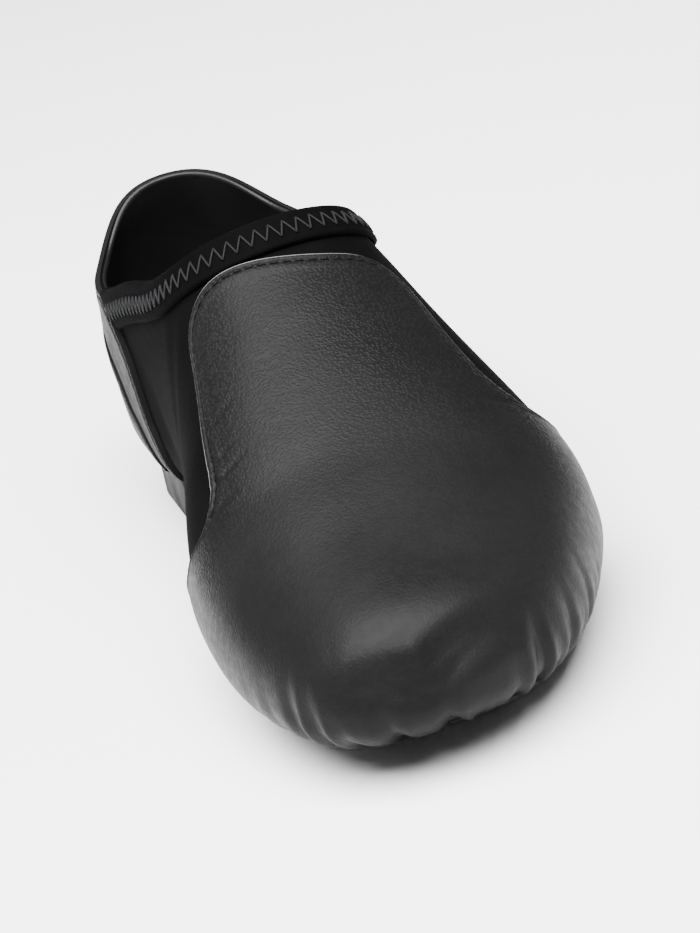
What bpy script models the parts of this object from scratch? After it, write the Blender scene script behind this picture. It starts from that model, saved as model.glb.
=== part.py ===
# Jazz shoe for the left foot, toe towards -Y, medial side towards -X, standing on z = 0
import math

import bpy
import numpy as np

# Driving sizes, in metres
LAST_LENGTH = 0.2425
BALL_WIDTH = 0.0930
INSTEP_HEIGHT = 0.0925
HEEL_HEIGHT = 0.0128
WALL = 0.0016
LEATHER = 0.0011
GAP = 0.00035
SAG_SHARE = 0.65
RIM = 0.0012
PAD_LENGTH = 0.074
PAD_DEPTH = 0.0037
HEEL_BLOCK_WIDTH = 0.0535
HEEL_BLOCK_LENGTH = 0.0580
HEEL_BLOCK_BACK = 0.0055
HEEL_TAPER = 0.0008
HEEL_CHAMFER = 0.0008
COLLAR_BACK = 0.077
BINDING_WIDTH = 0.009
BINDING_INSIDE = 0.0065
BINDING_SLANT = 1.3
PANEL_WIDTH = 0.037
PANEL_DRIFT = 0.008
WELT_RISE = 0.0009
UNDERSIDE_WIDTH = 0.026
INSOLE_DEPTH = 0.0022
BREAST_GAP = 0.000423
# The arch panel starts at the heel block's breast
PANEL_START = (HEEL_BLOCK_BACK + HEEL_BLOCK_LENGTH + BREAST_GAP) / LAST_LENGTH

# Sections of the last, heel to toe. Station is a share of LAST_LENGTH, medial and lateral are
# shares of BALL_WIDTH, wide and top are shares of INSTEP_HEIGHT, bottom is a share of
# HEEL_HEIGHT, and corner says how square the lower half of the section is.
SECTIONS = (
    # station, medial, lateral, bottom, wide, top, corner
    (0.000, 0.013, 0.013, 2.85, 0.400, 0.400, 0.80),
    (0.016, -0.118, 0.177, 1.60, 0.400, 0.810, 0.86),
    (0.049, -0.199, 0.277, 1.13, 0.383, 1.070, 0.92),
    (0.131, -0.280, 0.353, 1.00, 0.365, 1.276, 0.94),
    (0.245, -0.286, 0.363, 1.00, 0.365, 1.297, 0.92),
    (0.359, -0.283, 0.387, 1.06, 0.365, 1.146, 0.84),
    (0.457, -0.312, 0.433, 0.98, 0.340, 1.000, 0.78),
    (0.551, -0.368, 0.488, 0.63, 0.297, 0.846, 0.74),
    (0.633, -0.430, 0.535, 0.33, 0.248, 0.726, 0.74),
    (0.714, -0.454, 0.546, 0.26, 0.217, 0.612, 0.74),
    (0.796, -0.452, 0.477, 0.26, 0.195, 0.519, 0.74),
    (0.865, -0.425, 0.391, 0.35, 0.189, 0.459, 0.74),
    (0.931, -0.372, 0.271, 0.59, 0.184, 0.411, 0.74),
    (0.976, -0.290, 0.133, 0.90, 0.190, 0.340, 0.74),
    (1.000, -0.075, -0.075, 1.42, 0.195, 0.195, 0.74),
)

# Height of the collar's edge. Station is a share of LAST_LENGTH, height a share of COLLAR_BACK.
COLLAR = (
    # station, height
    (-0.020, 1.000),
    (0.012, 0.990),
    (0.050, 0.875),
    (0.110, 0.805),
    (0.170, 0.805),
    (0.230, 0.860),
    (0.300, 0.930),
    (0.390, 1.010),
    (0.445, 1.105),
    (0.478, 1.180),
    (0.530, 1.350),
)

# Edge of the vamp, from the medial underside over the tongue to the lateral underside.
# Station is a share of LAST_LENGTH, turn is in degrees from the ridge, lateral side positive.
VAMP_EDGE = (
    # station, turn
    (0.628, -157.0),
    (0.602, -156.0),
    (0.580, -150.0),
    (0.568, -140.0),
    (0.566, -128.0),
    (0.574, -116.0),
    (0.599, -103.0),
    (0.628, -91.0),
    (0.655, -80.0),
    (0.676, -69.0),
    (0.687, -60.0),
    (0.681, -52.0),
    (0.655, -47.5),
    (0.600, -45.5),
    (0.545, -44.0),
    (0.508, -42.0),
    (0.492, -36.0),
    (0.492, -26.0),
    (0.505, -12.0),
    (0.518, 2.0),
    (0.522, 14.0),
    (0.520, 24.0),
    (0.523, 31.0),
    (0.538, 36.0),
    (0.572, 37.5),
    (0.612, 38.0),
    (0.646, 39.5),
    (0.672, 43.0),
    (0.686, 50.0),
    (0.687, 59.0),
    (0.674, 70.0),
    (0.648, 82.0),
    (0.616, 95.0),
    (0.588, 108.0),
    (0.573, 121.0),
    (0.573, 134.0),
    (0.584, 146.0),
    (0.606, 154.0),
    (0.642, 156.5),
)

# Edge of the forefoot pad. Bearing is in degrees from the heelward direction, lateral side
# positive, and reach is a share of PAD_LENGTH.
PAD_EDGE = (
    # bearing, reach
    (-180.0, 0.462),
    (-161.0, 0.462),
    (-141.0, 0.447),
    (-118.0, 0.415),
    (-90.0, 0.398),
    (-63.0, 0.440),
    (-46.0, 0.492),
    (-34.0, 0.515),
    (-24.0, 0.505),
    (-14.0, 0.455),
    (-4.0, 0.385),
    (5.0, 0.338),
    (12.0, 0.325),
    (18.0, 0.360),
    (26.0, 0.440),
    (35.0, 0.492),
    (48.0, 0.505),
    (63.0, 0.470),
    (90.0, 0.405),
    (118.0, 0.385),
    (147.0, 0.405),
    (166.0, 0.440),
)
PAD_STATION = 0.775
PAD_SIDE = 0.080

# Counter, from the underside up its front edge to the collar. The edge and the seam inside it
# are each given by a share of LAST_LENGTH ahead of PANEL_START and a turn in degrees.
COUNTER = (
    # edge_ahead, edge_turn, seam_ahead, seam_turn
    (0.0244, 149.0, 0.0000, 149.0),
    (0.0314, 136.0, -0.0002, 138.0),
    (0.0344, 122.0, -0.0044, 121.5),
    (0.0314, 108.0, -0.0171, 107.0),
    (0.0214, 95.0, -0.0346, 96.5),
    (0.0014, 85.0, -0.0586, 89.5),
    (-0.0256, 78.0, -0.0866, 85.0),
)
# The seam behind that, under the collar, up to the back of the heel
SEAM = (
    # station, turn
    (0.1470, 82.5),
    (0.1160, 80.0),
    (0.0850, 76.5),
    (0.0570, 71.0),
    (0.0340, 61.0),
    (0.0190, 43.0),
    (0.0115, 21.0),
    (0.0102, 0.0),
)
COLLAR_CENTRE = (0.235, 0.0)
COUNTER_CORNER = 0.172
VAMP_CENTRE = (0.690, 0.0)
VAMP_NEAR_LEAN = 0.30
VAMP_FAR_LEAN = -0.18
CUP_CENTRE = (0.030, 180.0)
UNDERSIDE_START = 0.070
UNDERSIDE_END = 0.860

LEAST_BEND = 4.0
CURVE_LEAST_BEND = 18.0
CURVE_SAMPLES = 600
CURVE_WINDOW = 7
UPPER_COLUMNS = 56
UPPER_ROWS = 16
VAMP_COLUMNS = 76
VAMP_ROWS = 9
CUP_COLUMNS = 40
CUP_ROWS = 7
BINDING_STEPS = 34
SEAM_STEPS = 8


def spline(x, y):
    """Natural cubic spline through the rows of a table, as a function."""
    x = np.asarray(x, float)
    y = np.asarray(y, float)
    steps = np.diff(x)
    slopes = np.diff(y, axis=0) / steps.reshape(-1, *[1] * (y.ndim - 1))
    count = len(x)
    matrix = np.eye(count)
    right = np.zeros_like(y)
    for i in range(1, count - 1):
        matrix[i, i - 1] = steps[i - 1]
        matrix[i, i] = 2 * (steps[i - 1] + steps[i])
        matrix[i, i + 1] = steps[i]
        right[i] = 6 * (slopes[i] - slopes[i - 1])
    bend = np.linalg.solve(matrix, right)

    def value(at):
        at = np.asarray(at, float)
        i = np.clip(np.searchsorted(x, at) - 1, 0, count - 2)
        t = at - x[i]
        h = steps[i]
        if y.ndim > 1:
            t = t[..., None]
            h = h[..., None]
        linear = (y[i + 1] - y[i]) / h - h * (2 * bend[i] + bend[i + 1]) / 6
        return y[i] + t * (linear + t * (bend[i] / 2 + t * (bend[i + 1] - bend[i]) / (6 * h)))

    return value


def periodic(x, y, period):
    """Smooth closed curve through the rows of a table whose last row leads back to its first."""
    x = np.concatenate([np.asarray(x) - period, x, np.asarray(x) + period])
    return spline(x, np.concatenate([y, y, y]))


def arc(share):
    """Angle along the last, 0 at the heel and pi at the toe, so that both ends come out round."""
    return np.arccos(np.clip(1 - 2 * share, -1, 1))


ROWS = np.array(SECTIONS)
SECTION = spline(arc(ROWS[:, 0]), ROWS[:, 1:])
COLLAR_ROWS = np.array(COLLAR)
COLLAR_HEIGHT = spline(COLLAR_ROWS[:, 0], COLLAR_ROWS[:, 1])


def section_middle(share):
    """Side of the last's middle line at a share of its length."""
    row = SECTION(arc(share))
    return (row[..., 0] + row[..., 1]) / 2 * BALL_WIDTH


def bezier(a, b, c, d, t):
    return a * (1 - t) ** 3 + 3 * b * (1 - t) ** 2 * t + 3 * c * (1 - t) * t**2 + d * t**3


def last(share, turn):
    """Point of the last at a share of its length and a turn in radians from its ridge."""
    row = SECTION(arc(share))
    medial = row[..., 0] * BALL_WIDTH
    lateral = row[..., 1] * BALL_WIDTH
    bottom = row[..., 2] * HEEL_HEIGHT
    wide = row[..., 3] * INSTEP_HEIGHT
    top = row[..., 4] * INSTEP_HEIGHT
    corner = row[..., 5]
    middle = (medial + lateral) / 2
    reach = np.where(turn > 0, lateral, medial) - middle
    quarter = np.abs(turn) / (math.pi / 2)
    up = np.clip(quarter, 0, 1)
    low = np.clip(quarter - 1, 0, 1)
    over = bezier(0, 0.60, 1, 1, up)
    under = bezier(1, 1, corner, 0, low)
    x = middle + reach * np.where(quarter > 1, under, over)
    z_over = wide + (top - wide) * bezier(1, 1, 0.55, 0, up)
    z_under = wide - (wide - bottom) * bezier(0, corner - 0.12, 1, 1, low)
    z = np.where(quarter > 1, z_under, z_over)
    return np.stack([x, -share * LAST_LENGTH + 0 * z, z], -1)


def heading(share, turn):
    """Unit vector (forward, side, up) that stands for a place on the last."""
    forward = 2 * np.asarray(share, float) - 1
    across = np.sqrt(np.clip(1 - forward**2, 0, 1))
    side = across * np.sin(turn)
    return np.stack([forward + 0 * side, side, across * np.cos(turn)], -1)


def place(way):
    """Point of the last that a heading stands for."""
    way = way / np.linalg.norm(way, axis=-1, keepdims=True)
    return last((1 + way[..., 0]) / 2, np.arctan2(way[..., 1], way[..., 2]))


def skin(way, rise):
    """Point at a rise outside the last, along its normal there."""
    way = way / np.linalg.norm(way, axis=-1, keepdims=True)
    helper = np.where(np.abs(way[..., 1:2]) < 0.8, (0.0, 1.0, 0.0), (0.0, 0.0, 1.0))
    first = np.cross(way, helper)
    first /= np.linalg.norm(first, axis=-1, keepdims=True)
    second = np.cross(way, first)
    step = 0.004
    along = place(way + step * first) - place(way - step * first)
    across = place(way + step * second) - place(way - step * second)
    normal = np.cross(along, across)
    normal /= np.linalg.norm(normal, axis=-1, keepdims=True)
    return place(way) + normal * np.asarray(rise)[..., None]


def between(start, end, share):
    """Headings on the great circle from one heading to another."""
    dot = np.clip((start * end).sum(-1, keepdims=True), -1, 1)
    angle = np.arccos(dot)
    lead = end - dot * start
    lead = lead / np.maximum(np.linalg.norm(lead, axis=-1, keepdims=True), 1e-12)
    return start * np.cos(angle * share) + lead * np.sin(angle * share)


def moved(way, target, distance):
    """Heading moved towards a target by a distance measured on the last."""
    near = between(way, target, 0.01)
    length = np.linalg.norm(place(near) - place(way), axis=-1, keepdims=True)
    return between(way, target, 0.01 * distance / length)


def along(values, at, run):
    """Rows of a table of three columns, read at places along its run."""
    return np.stack([np.interp(at, run, values[:, k]) for k in range(3)], -1)


def evenly(points, count, closed=False):
    """Headings along a curve of headings, spaced by its length and closer where it bends."""
    places = place(points)
    run = np.concatenate([[0], np.cumsum(np.linalg.norm(np.diff(places, axis=0), axis=-1))])
    fine = np.linspace(0, run[-1], CURVE_SAMPLES + 1)
    places = along(places, fine, run)
    runs = np.diff(places, axis=0)
    ways = runs / np.linalg.norm(runs, axis=-1, keepdims=True)
    turns = np.arccos(np.clip((ways[1:] * ways[:-1]).sum(-1), -1, 1))
    turns = np.concatenate([turns[-1:] * 0, turns]) * CURVE_SAMPLES / run[-1]
    window = np.ones(CURVE_WINDOW) / CURVE_WINDOW
    padded = np.pad(turns, CURVE_WINDOW // 2, mode="wrap" if closed else "edge")
    bends = np.convolve(padded, window, "valid")[:CURVE_SAMPLES]
    weight = np.concatenate([[0], np.cumsum(np.sqrt(bends + CURVE_LEAST_BEND))])
    marks = np.linspace(0, weight[-1], count + 1 if closed else count)
    marks = marks[:-1] if closed else marks
    found = along(points, np.interp(marks, weight, fine), run)
    return found / np.linalg.norm(found, axis=-1, keepdims=True)


def under(x, station):
    """Heading of the place on the last's underside at a side x and a station, both in metres."""
    share = station / LAST_LENGTH
    row = SECTION(arc(share))
    middle = (row[..., 0] + row[..., 1]) / 2 * BALL_WIDTH
    edge = np.where(x > middle, row[..., 1], row[..., 0]) * BALL_WIDTH
    part = np.clip((x - middle) / (edge - middle), 0, 0.999)
    low = np.zeros_like(part)
    high = np.ones_like(part)
    for _ in range(40):
        half = (low + high) / 2
        inside = bezier(1, 1, row[..., 5], 0, half) > part
        low = np.where(inside, half, low)
        high = np.where(inside, high, half)
    turn = (1 + low) * math.pi / 2
    return heading(share, np.where(x > middle, turn, -turn))


# Collar's edge, by bearing round the opening's centre: 0 points forward, lateral side positive
CENTRE = heading(COLLAR_CENTRE[0], COLLAR_CENTRE[1])
FORWARD = np.array([CENTRE[2], 0.0, -CENTRE[0]])
SIDEWAYS = np.array([0.0, 1.0, 0.0])


def from_collar(bearing, angle):
    lead = np.cos(bearing)[..., None] * FORWARD + np.sin(bearing)[..., None] * SIDEWAYS
    return CENTRE * np.cos(angle)[..., None] + lead * np.sin(angle)[..., None]


def collar_angle(bearing):
    low = np.full_like(bearing, 0.05)
    high = np.full_like(bearing, 1.9)
    for _ in range(40):
        half = (low + high) / 2
        point = place(from_collar(bearing, half))
        share = np.clip(-point[..., 1] / LAST_LENGTH, -0.02, 0.5)
        inside = point[..., 2] > COLLAR_HEIGHT(share) * COLLAR_BACK
        low = np.where(inside, half, low)
        high = np.where(inside, high, half)
    return low


def collar_point(bearing, drop=0.0):
    """Heading at a drop below the collar's edge, in metres along the last."""
    angle = collar_angle(bearing)
    edge = place(from_collar(bearing, angle))
    ahead = place(from_collar(bearing, angle + 0.01))
    scale = 0.01 / np.linalg.norm(ahead - edge, axis=-1)
    return from_collar(bearing, angle + drop * scale)


def bearing_at(share):
    """Bearing of the collar's edge at a station share, on the lateral side."""
    low = 0.3
    high = math.pi - 0.05
    for _ in range(40):
        half = (low + high) / 2
        point = place(collar_point(np.array([half])))[0]
        if -point[1] > share * LAST_LENGTH:
            low = half
        else:
            high = half
    return low


def mirrored(curve):
    return curve * np.array([1.0, -1.0, 1.0])


def pad_edge(bearing, out=0.0):
    """Side and station of the pad's edge at a bearing in radians, moved outward by out."""
    table = np.array(PAD_EDGE)
    reach = periodic(np.radians(table[:, 0]), table[:, 1], 2 * math.pi)(bearing) * PAD_LENGTH
    x = PAD_SIDE * BALL_WIDTH + (reach + out) * np.sin(bearing)
    station = PAD_STATION * LAST_LENGTH - (reach + out) * np.cos(bearing)
    return x, station


def block_edge(bearing, out=0.0):
    """Side and station of the heel block's edge. Bearing 0 points back, +-pi is the breast."""
    half = HEEL_BLOCK_WIDTH / 2
    middle = HEEL_BLOCK_BACK + half
    front = HEEL_BLOCK_BACK + HEEL_BLOCK_LENGTH
    back_x = np.sin(bearing)
    back_y = np.cos(bearing)
    round_part = np.full_like(bearing, half)
    side_part = half / np.maximum(np.abs(back_x), 1e-6)
    front_part = (front - middle) / np.maximum(-back_y, 1e-6)
    reach = np.where(back_y > 0, round_part, np.minimum(side_part, front_part)) + out
    x = BLOCK_SIDE + reach * back_x
    return x, middle - reach * back_y


def block_corner():
    """Bearing of the heel block's lateral front corner."""
    front = HEEL_BLOCK_LENGTH - HEEL_BLOCK_WIDTH / 2
    return math.pi - math.atan2(HEEL_BLOCK_WIDTH / 2, front)


BLOCK_SIDE = (SECTION(arc(0.16))[0] + SECTION(arc(0.16))[1]) / 2 * BALL_WIDTH

nodes = []


def material(name, colour, roughness):
    made = bpy.data.materials.new(name)
    made.use_nodes = True
    shader = made.node_tree.nodes["Principled BSDF"]
    shader.inputs["Base Color"].default_value = (*colour, 1.0)
    shader.inputs["Roughness"].default_value = roughness
    shader.inputs["Metallic"].default_value = 0.0
    return made


def body(name, points, faces, made):
    """Closed mesh facing out, from points and faces."""
    points = np.asarray(points, float)
    volume = 0.0
    for face in faces:
        for k in range(1, len(face) - 1):
            volume += np.dot(points[face[0]], np.cross(points[face[k]], points[face[k + 1]]))
    if volume < 0:
        faces = [tuple(reversed(face)) for face in faces]
    mesh = bpy.data.meshes.new(name)
    mesh.from_pydata(points.tolist(), [], faces)
    mesh.materials.append(made)
    shape = bpy.data.objects.new(name, mesh)
    bpy.context.scene.collection.objects.link(shape)
    nodes.append(shape)
    return shape


def wall(name, outer, inner, made, ring=False, pole=False):
    """Solid between two grids of the same rows and columns. A ring closes its columns round, and
    a pole makes the first row one point."""
    rows, columns = outer.shape[:2]
    first = 1 if pole else 0
    points = []
    faces = []
    index = np.zeros((2, rows, columns), int)
    for side, grid in enumerate((outer, inner)):
        if pole:
            index[side, 0] = len(points)
            points.append(grid[0, 0])
        for i in range(first, rows):
            index[side, i] = np.arange(columns) + len(points)
            points.extend(grid[i])
    last_column = columns if ring else columns - 1
    for j in range(last_column):
        k = (j + 1) % columns
        for i in range(rows - 1):
            for side in (0, 1):
                near = index[side, i]
                far = index[side, i + 1]
                quad = (near[j], far[j], far[k], near[k])
                if pole and i == 0:
                    quad = quad[:3]
                faces.append(quad if side == 0 else tuple(reversed(quad)))
        for i in (rows - 1,) if pole else (0, rows - 1):
            rim = (index[0, i, j], index[1, i, j], index[1, i, k], index[0, i, k])
            faces.append(rim if i else tuple(reversed(rim)))
    if not ring:
        for j in (0, columns - 1):
            for i in range(rows - 1):
                rim = (index[0, i, j], index[0, i + 1, j], index[1, i + 1, j], index[1, i, j])
                faces.append(rim if j else tuple(reversed(rim)))
    return body(name, points, faces, made)


def curved(start, near, far, end, share):
    """Headings on a curve that leaves start towards near and reaches end from far."""
    middle = between(near, far, share)
    first = between(between(start, near, share), middle, share)
    second = between(middle, between(far, end, share), share)
    return between(first, second, share)


def spaced(start, end, rows, near=None, far=None):
    """Grid of headings from start to end, closer together where the last bends more."""
    fine = np.linspace(0, 1, 91)
    start = np.broadcast_to(start, end.shape)
    near = between(start, end, 1 / 3) if near is None else near
    far = between(start, end, 2 / 3) if far is None else far
    course = (start[None], near[None], far[None], end[None])
    path = place(curved(*course, fine[:, None, None]))
    runs = np.diff(path, axis=0)
    lengths = np.linalg.norm(runs, axis=-1)
    ways = runs / lengths[..., None]
    turns = np.arccos(np.clip((ways[1:] * ways[:-1]).sum(-1), -1, 1))
    bends = turns / (lengths[1:] + lengths[:-1]) * 2
    bends = np.concatenate([bends[:1], bends, bends[-1:]])
    bends = (bends[1:] + bends[:-1]) / 2
    weight = np.sqrt(bends + LEAST_BEND) * lengths
    shares = np.empty((rows, len(end), 1))
    for j in range(len(end)):
        run = np.concatenate([[0], np.cumsum(weight[:, j])])
        shares[:, j, 0] = np.interp(np.linspace(0, run[-1], rows), run, fine)
    return curved(*course, shares)


def panel_middle(share):
    """Side of the arch panel's middle line, which drifts outward towards the pad."""
    return section_middle(share) + PANEL_DRIFT * (share - PANEL_START)


def build_upper(made):
    angle = np.linspace(0, 2 * math.pi, 721)
    share = (UNDERSIDE_START + UNDERSIDE_END) / 2
    share = share - (UNDERSIDE_END - UNDERSIDE_START) / 2 * np.cos(angle)
    reach = np.abs(np.sin(angle)) ** 0.7 * np.sign(np.sin(angle)) * UNDERSIDE_WIDTH / 2
    opening = under(panel_middle(share) + reach, share * LAST_LENGTH)
    bearings = np.linspace(0, 2 * math.pi, 721)
    collar = collar_point(bearings + math.pi)
    low = evenly(opening, UPPER_COLUMNS, closed=True)
    high = evenly(collar, UPPER_COLUMNS, closed=True)
    if np.sign(low[UPPER_COLUMNS // 4, 1]) != np.sign(high[UPPER_COLUMNS // 4, 1]):
        high = np.roll(high[::-1], 1, axis=0)
    grid = spaced(low, high, UPPER_ROWS)
    outer = skin(grid, np.zeros(grid.shape[:2]))
    inner = skin(grid, np.full(grid.shape[:2], -WALL))
    wall("upper", outer, inner, made, ring=True)


def framed(grid, pole=False):
    """Grid with one more row close inside its last row, and inside its first unless it is a pole."""
    near = [grid[:-1], moved(grid[-1], grid[-2], RIM)[None], grid[-1:]]
    if not pole:
        near[0] = np.concatenate([grid[:1], moved(grid[0], grid[1], RIM)[None], grid[1:-1]])
    return np.concatenate(near)


def facet_sag(grid, ring):
    """How far the flat facets round each point of a grid dip below the last."""
    far = np.roll(grid, -1, axis=1) if ring else grid[:, 1:]
    near = grid if ring else grid[:, :-1]
    sag = np.zeros(grid.shape[:2])
    for first, second in ((near[:-1], far[1:]), (far[:-1], near[1:])):
        dip = np.linalg.norm(place(first + second) - (place(first) + place(second)) / 2, axis=-1)
        if not ring:
            dip = np.concatenate([dip, dip[:, -1:]], 1)
        for rows in (slice(0, -1), slice(1, None)):
            for columns in (0, 1):
                sag[rows] = np.maximum(sag[rows], np.roll(dip, columns, axis=1))
    return sag


def overlay(name, grid, made, ring=False, pole=False):
    """Leather over the upper, which stands off it far enough for its facets to clear it."""
    rise = GAP + SAG_SHARE * facet_sag(grid, ring)
    outer = skin(grid, np.maximum(GAP + LEATHER, rise + LEATHER / 3))
    wall(name, outer, skin(grid, rise), made, ring=ring, pole=pole)


def vamp_course(edge, lean, turn):
    """Headings that lead the vamp's columns round the sides and the toe to its lower edge."""
    forward = edge[:, 0]
    inward = edge[:, 2] ** 2 / (1 - forward**2) * np.clip((forward - 0.35) / 0.4, 0, 1)
    leaning = lean * np.clip((0.6 - forward) / 0.35, 0, 1)
    forward = forward + (1 - forward) * inward + leaning
    return heading((1 + forward) / 2, np.sign(edge[:, 1]) * math.radians(turn))


def build_vamp(made):
    table = np.array(VAMP_EDGE)
    rows = np.stack([table[:, 0], np.radians(table[:, 1])], -1)
    run = np.arange(len(table))
    curve = spline(run, rows)(np.linspace(0, len(table) - 1, 800))
    rear = heading(curve[:, 0], curve[:, 1])
    bearing = np.linspace(-math.pi, math.pi, 721)
    x, station = pad_edge(bearing, 1.6 * GAP)
    pad = under(x, station)
    start = int(np.argmin(np.linalg.norm(place(pad) - place(rear[:1]), axis=-1)))
    end = int(np.argmin(np.linalg.norm(place(pad) - place(rear[-1:]), axis=-1)))
    front = np.concatenate([pad[end:-1], pad[: start + 1]])
    edge = evenly(np.concatenate([rear, front]), VAMP_COLUMNS, closed=True)
    centre = heading(VAMP_CENTRE[0], math.radians(VAMP_CENTRE[1]))
    low = np.clip((-edge[:, 2:] - 0.1) / 0.8, 0, 1)
    near = between(centre[None], edge, 1 / 3) * (1 - low) + vamp_course(edge, VAMP_NEAR_LEAN, 80.0) * low
    far = between(centre[None], edge, 2 / 3) * (1 - low) + vamp_course(edge, VAMP_FAR_LEAN, 100.0) * low
    near /= np.linalg.norm(near, axis=-1, keepdims=True)
    far /= np.linalg.norm(far, axis=-1, keepdims=True)
    grid = spaced(centre, edge, VAMP_ROWS, near, far)
    overlay("vamp", framed(grid, pole=True), made, ring=True, pole=True)


def counter_lines():
    """Edge and seam of the counter as matching headings, lateral underside to medial underside."""
    front = np.array(COUNTER) + (PANEL_START, 0.0, PANEL_START, 0.0)
    corner = bearing_at(COUNTER_CORNER)
    back = np.linspace(corner, math.pi, len(SEAM))
    seam_table = np.concatenate([front[:, 2:], np.array(SEAM)])
    run = np.arange(len(seam_table))
    fine = np.linspace(0, len(seam_table) - 1, SEAM_STEPS * (len(seam_table) - 1) + 1)
    seam_rows = spline(run, np.stack([seam_table[:, 0], np.radians(seam_table[:, 1])], -1))(fine)
    seam = heading(seam_rows[:, 0], seam_rows[:, 1])
    collar = collar_point(np.interp(fine, np.arange(len(front), len(run)), back))
    corner_point = collar_point(np.array([corner]))[0]
    corner_row = ((1 + corner_point[0]) / 2, math.atan2(corner_point[1], corner_point[2]))
    edge_rows = np.concatenate([np.stack([front[:, 0], np.radians(front[:, 1])], -1), [corner_row]])
    edge_rows = spline(np.arange(len(edge_rows)), edge_rows)(np.minimum(fine, len(front)))
    edge = np.where((fine < len(front))[:, None], heading(edge_rows[:, 0], edge_rows[:, 1]), collar)
    edge = np.concatenate([edge, mirrored(edge[-2::-1])])
    seam = np.concatenate([seam, mirrored(seam[-2::-1])])
    return edge, seam


def build_counter(cup_made, band_made):
    edge, seam = counter_lines()
    step = slice(None, None, SEAM_STEPS // 2)
    grid = between(edge[step][None], seam[step][None], np.linspace(0, 1, 3)[:, None, None])
    overlay("counter_band", grid, band_made)
    corner = block_corner()
    x, station = block_edge(np.linspace(0.985 * corner, -0.985 * corner, 1441), GAP)
    below = evenly(under(x, station), CUP_COLUMNS)
    inside = seam[2 * SEAM_STEPS : len(seam) - 2 * SEAM_STEPS]
    centre = heading(CUP_CENTRE[0], math.radians(CUP_CENTRE[1]))
    inside = evenly(moved(inside, centre[None], 1.3 * GAP), CUP_COLUMNS)
    overlay("heel_cup", framed(spaced(inside, below, CUP_ROWS)), cup_made)


def build_binding(made):
    corner = bearing_at(COUNTER_CORNER)
    ends = place(collar_point(np.array([corner, corner - 0.05])))
    turn_per_metre = 0.05 / np.linalg.norm(ends[1] - ends[0])
    out = GAP + LEATHER
    inner = -WALL - GAP
    profile = (
        # drop below the collar's edge, rise from the last
        (BINDING_WIDTH, out),
        (0.0, out),
        (-0.0011, 0.4 * out),
        (-0.0015, -0.5 * WALL),
        (-0.0011, inner - 0.4 * LEATHER),
        (0.0, inner - LEATHER),
        (BINDING_INSIDE, inner - LEATHER),
        (BINDING_INSIDE, inner),
        (-GAP, inner),
        (-GAP, GAP),
        (BINDING_WIDTH, GAP),
    )
    rings = []
    for drop, rise in profile:
        limit = corner - (GAP + BINDING_SLANT * max(drop, 0.0)) * turn_per_metre
        bearing = np.linspace(-limit, limit, BINDING_STEPS)
        way = collar_point(bearing, drop)
        rings.append(skin(way, np.full(len(bearing), rise)))
    grid = np.stack(rings)
    count, steps = grid.shape[:2]
    points = grid.reshape(-1, 3)
    faces = []
    for i in range(count):
        k = (i + 1) % count
        for j in range(steps - 1):
            faces.append((i * steps + j, k * steps + j, k * steps + j + 1, i * steps + j + 1))
    faces.append(tuple(i * steps for i in range(count - 1, -1, -1)))
    faces.append(tuple(i * steps + steps - 1 for i in range(count)))
    body("collar_binding", points, faces, made)


def build_panel(made):
    inner_part = np.linspace(-0.82, 0.82, 13)
    across = np.concatenate([(-1.0, -0.95, -0.88), inner_part, (0.88, 0.95, 1.0)])
    rises = WELT_RISE * np.where((np.abs(across) > 0.85) & (np.abs(across) < 0.97), 1.0, 0.0)
    bearing = np.linspace(-math.pi, math.pi, 1441)
    pad_x, pad_station = pad_edge(bearing, 2.7 * GAP)
    shares = np.linspace(0.55, 0.70, 601)
    ends = []
    for part in across:
        x = panel_middle(shares) + part * PANEL_WIDTH / 2
        ends.append(shares[int(np.argmax(contains(pad_x, pad_station, x, shares * LAST_LENGTH)))])
    steps = np.linspace(0, 1, 9)[:, None]
    shares = PANEL_START + (np.array(ends)[None] - PANEL_START) * steps
    x = panel_middle(shares) + across[None] * PANEL_WIDTH / 2
    grid = under(x, shares * LAST_LENGTH)
    outer = skin(grid, GAP + LEATHER + rises[None] + 0 * shares)
    inner = skin(grid, GAP + 0 * shares)
    wall("arch_panel", outer, inner, made)


def contains(edge_x, edge_y, x, y):
    """Which points lie inside a closed outline."""
    inside = np.zeros(len(x), bool)
    for i in range(len(edge_x) - 1):
        crosses = (edge_y[i] > y) != (edge_y[i + 1] > y)
        rise = edge_y[i + 1] - edge_y[i]
        if rise == 0:
            continue
        cut = edge_x[i] + (y - edge_y[i]) * (edge_x[i + 1] - edge_x[i]) / rise
        inside ^= crosses & (x < cut)
    return inside


def build_pad(made):
    fine = np.linspace(-math.pi, math.pi, 1441)
    x, station = pad_edge(fine)
    run = np.concatenate([[0], np.cumsum(np.hypot(np.diff(x), np.diff(station)))])
    bearing = np.interp(np.linspace(0, run[-1], 49)[:-1], run, fine)
    x, station = pad_edge(bearing)
    middle_x = PAD_SIDE * BALL_WIDTH
    middle_y = PAD_STATION * LAST_LENGTH
    shares = np.array([0.0, 0.35, 0.7, 0.93, 1.0])[:, None]
    grid = under(middle_x + (x - middle_x) * shares, middle_y + (station - middle_y) * shares)
    depth = PAD_DEPTH * np.array([1.0, 1.0, 1.0, 1.0, 0.8])[:, None] + 0 * grid[..., 0]
    outer = skin(grid, depth)
    outer[..., 2] = np.maximum(outer[..., 2], 0.0)
    inner = skin(grid, GAP + 0 * depth)
    wall("forefoot_sole", outer, inner, made, ring=True, pole=True)


def block_ring(x, station, share, inset, height):
    """The heel block's outline drawn in to a share of itself and by an inset, at a height."""
    middle = HEEL_BLOCK_BACK + HEEL_BLOCK_WIDTH / 2
    scale = share * (1 - inset / (HEEL_BLOCK_WIDTH / 2))
    side = BLOCK_SIDE + (x - BLOCK_SIDE) * scale
    return np.stack([side, -(middle + (station - middle) * scale), height + 0 * x], -1)


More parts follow.
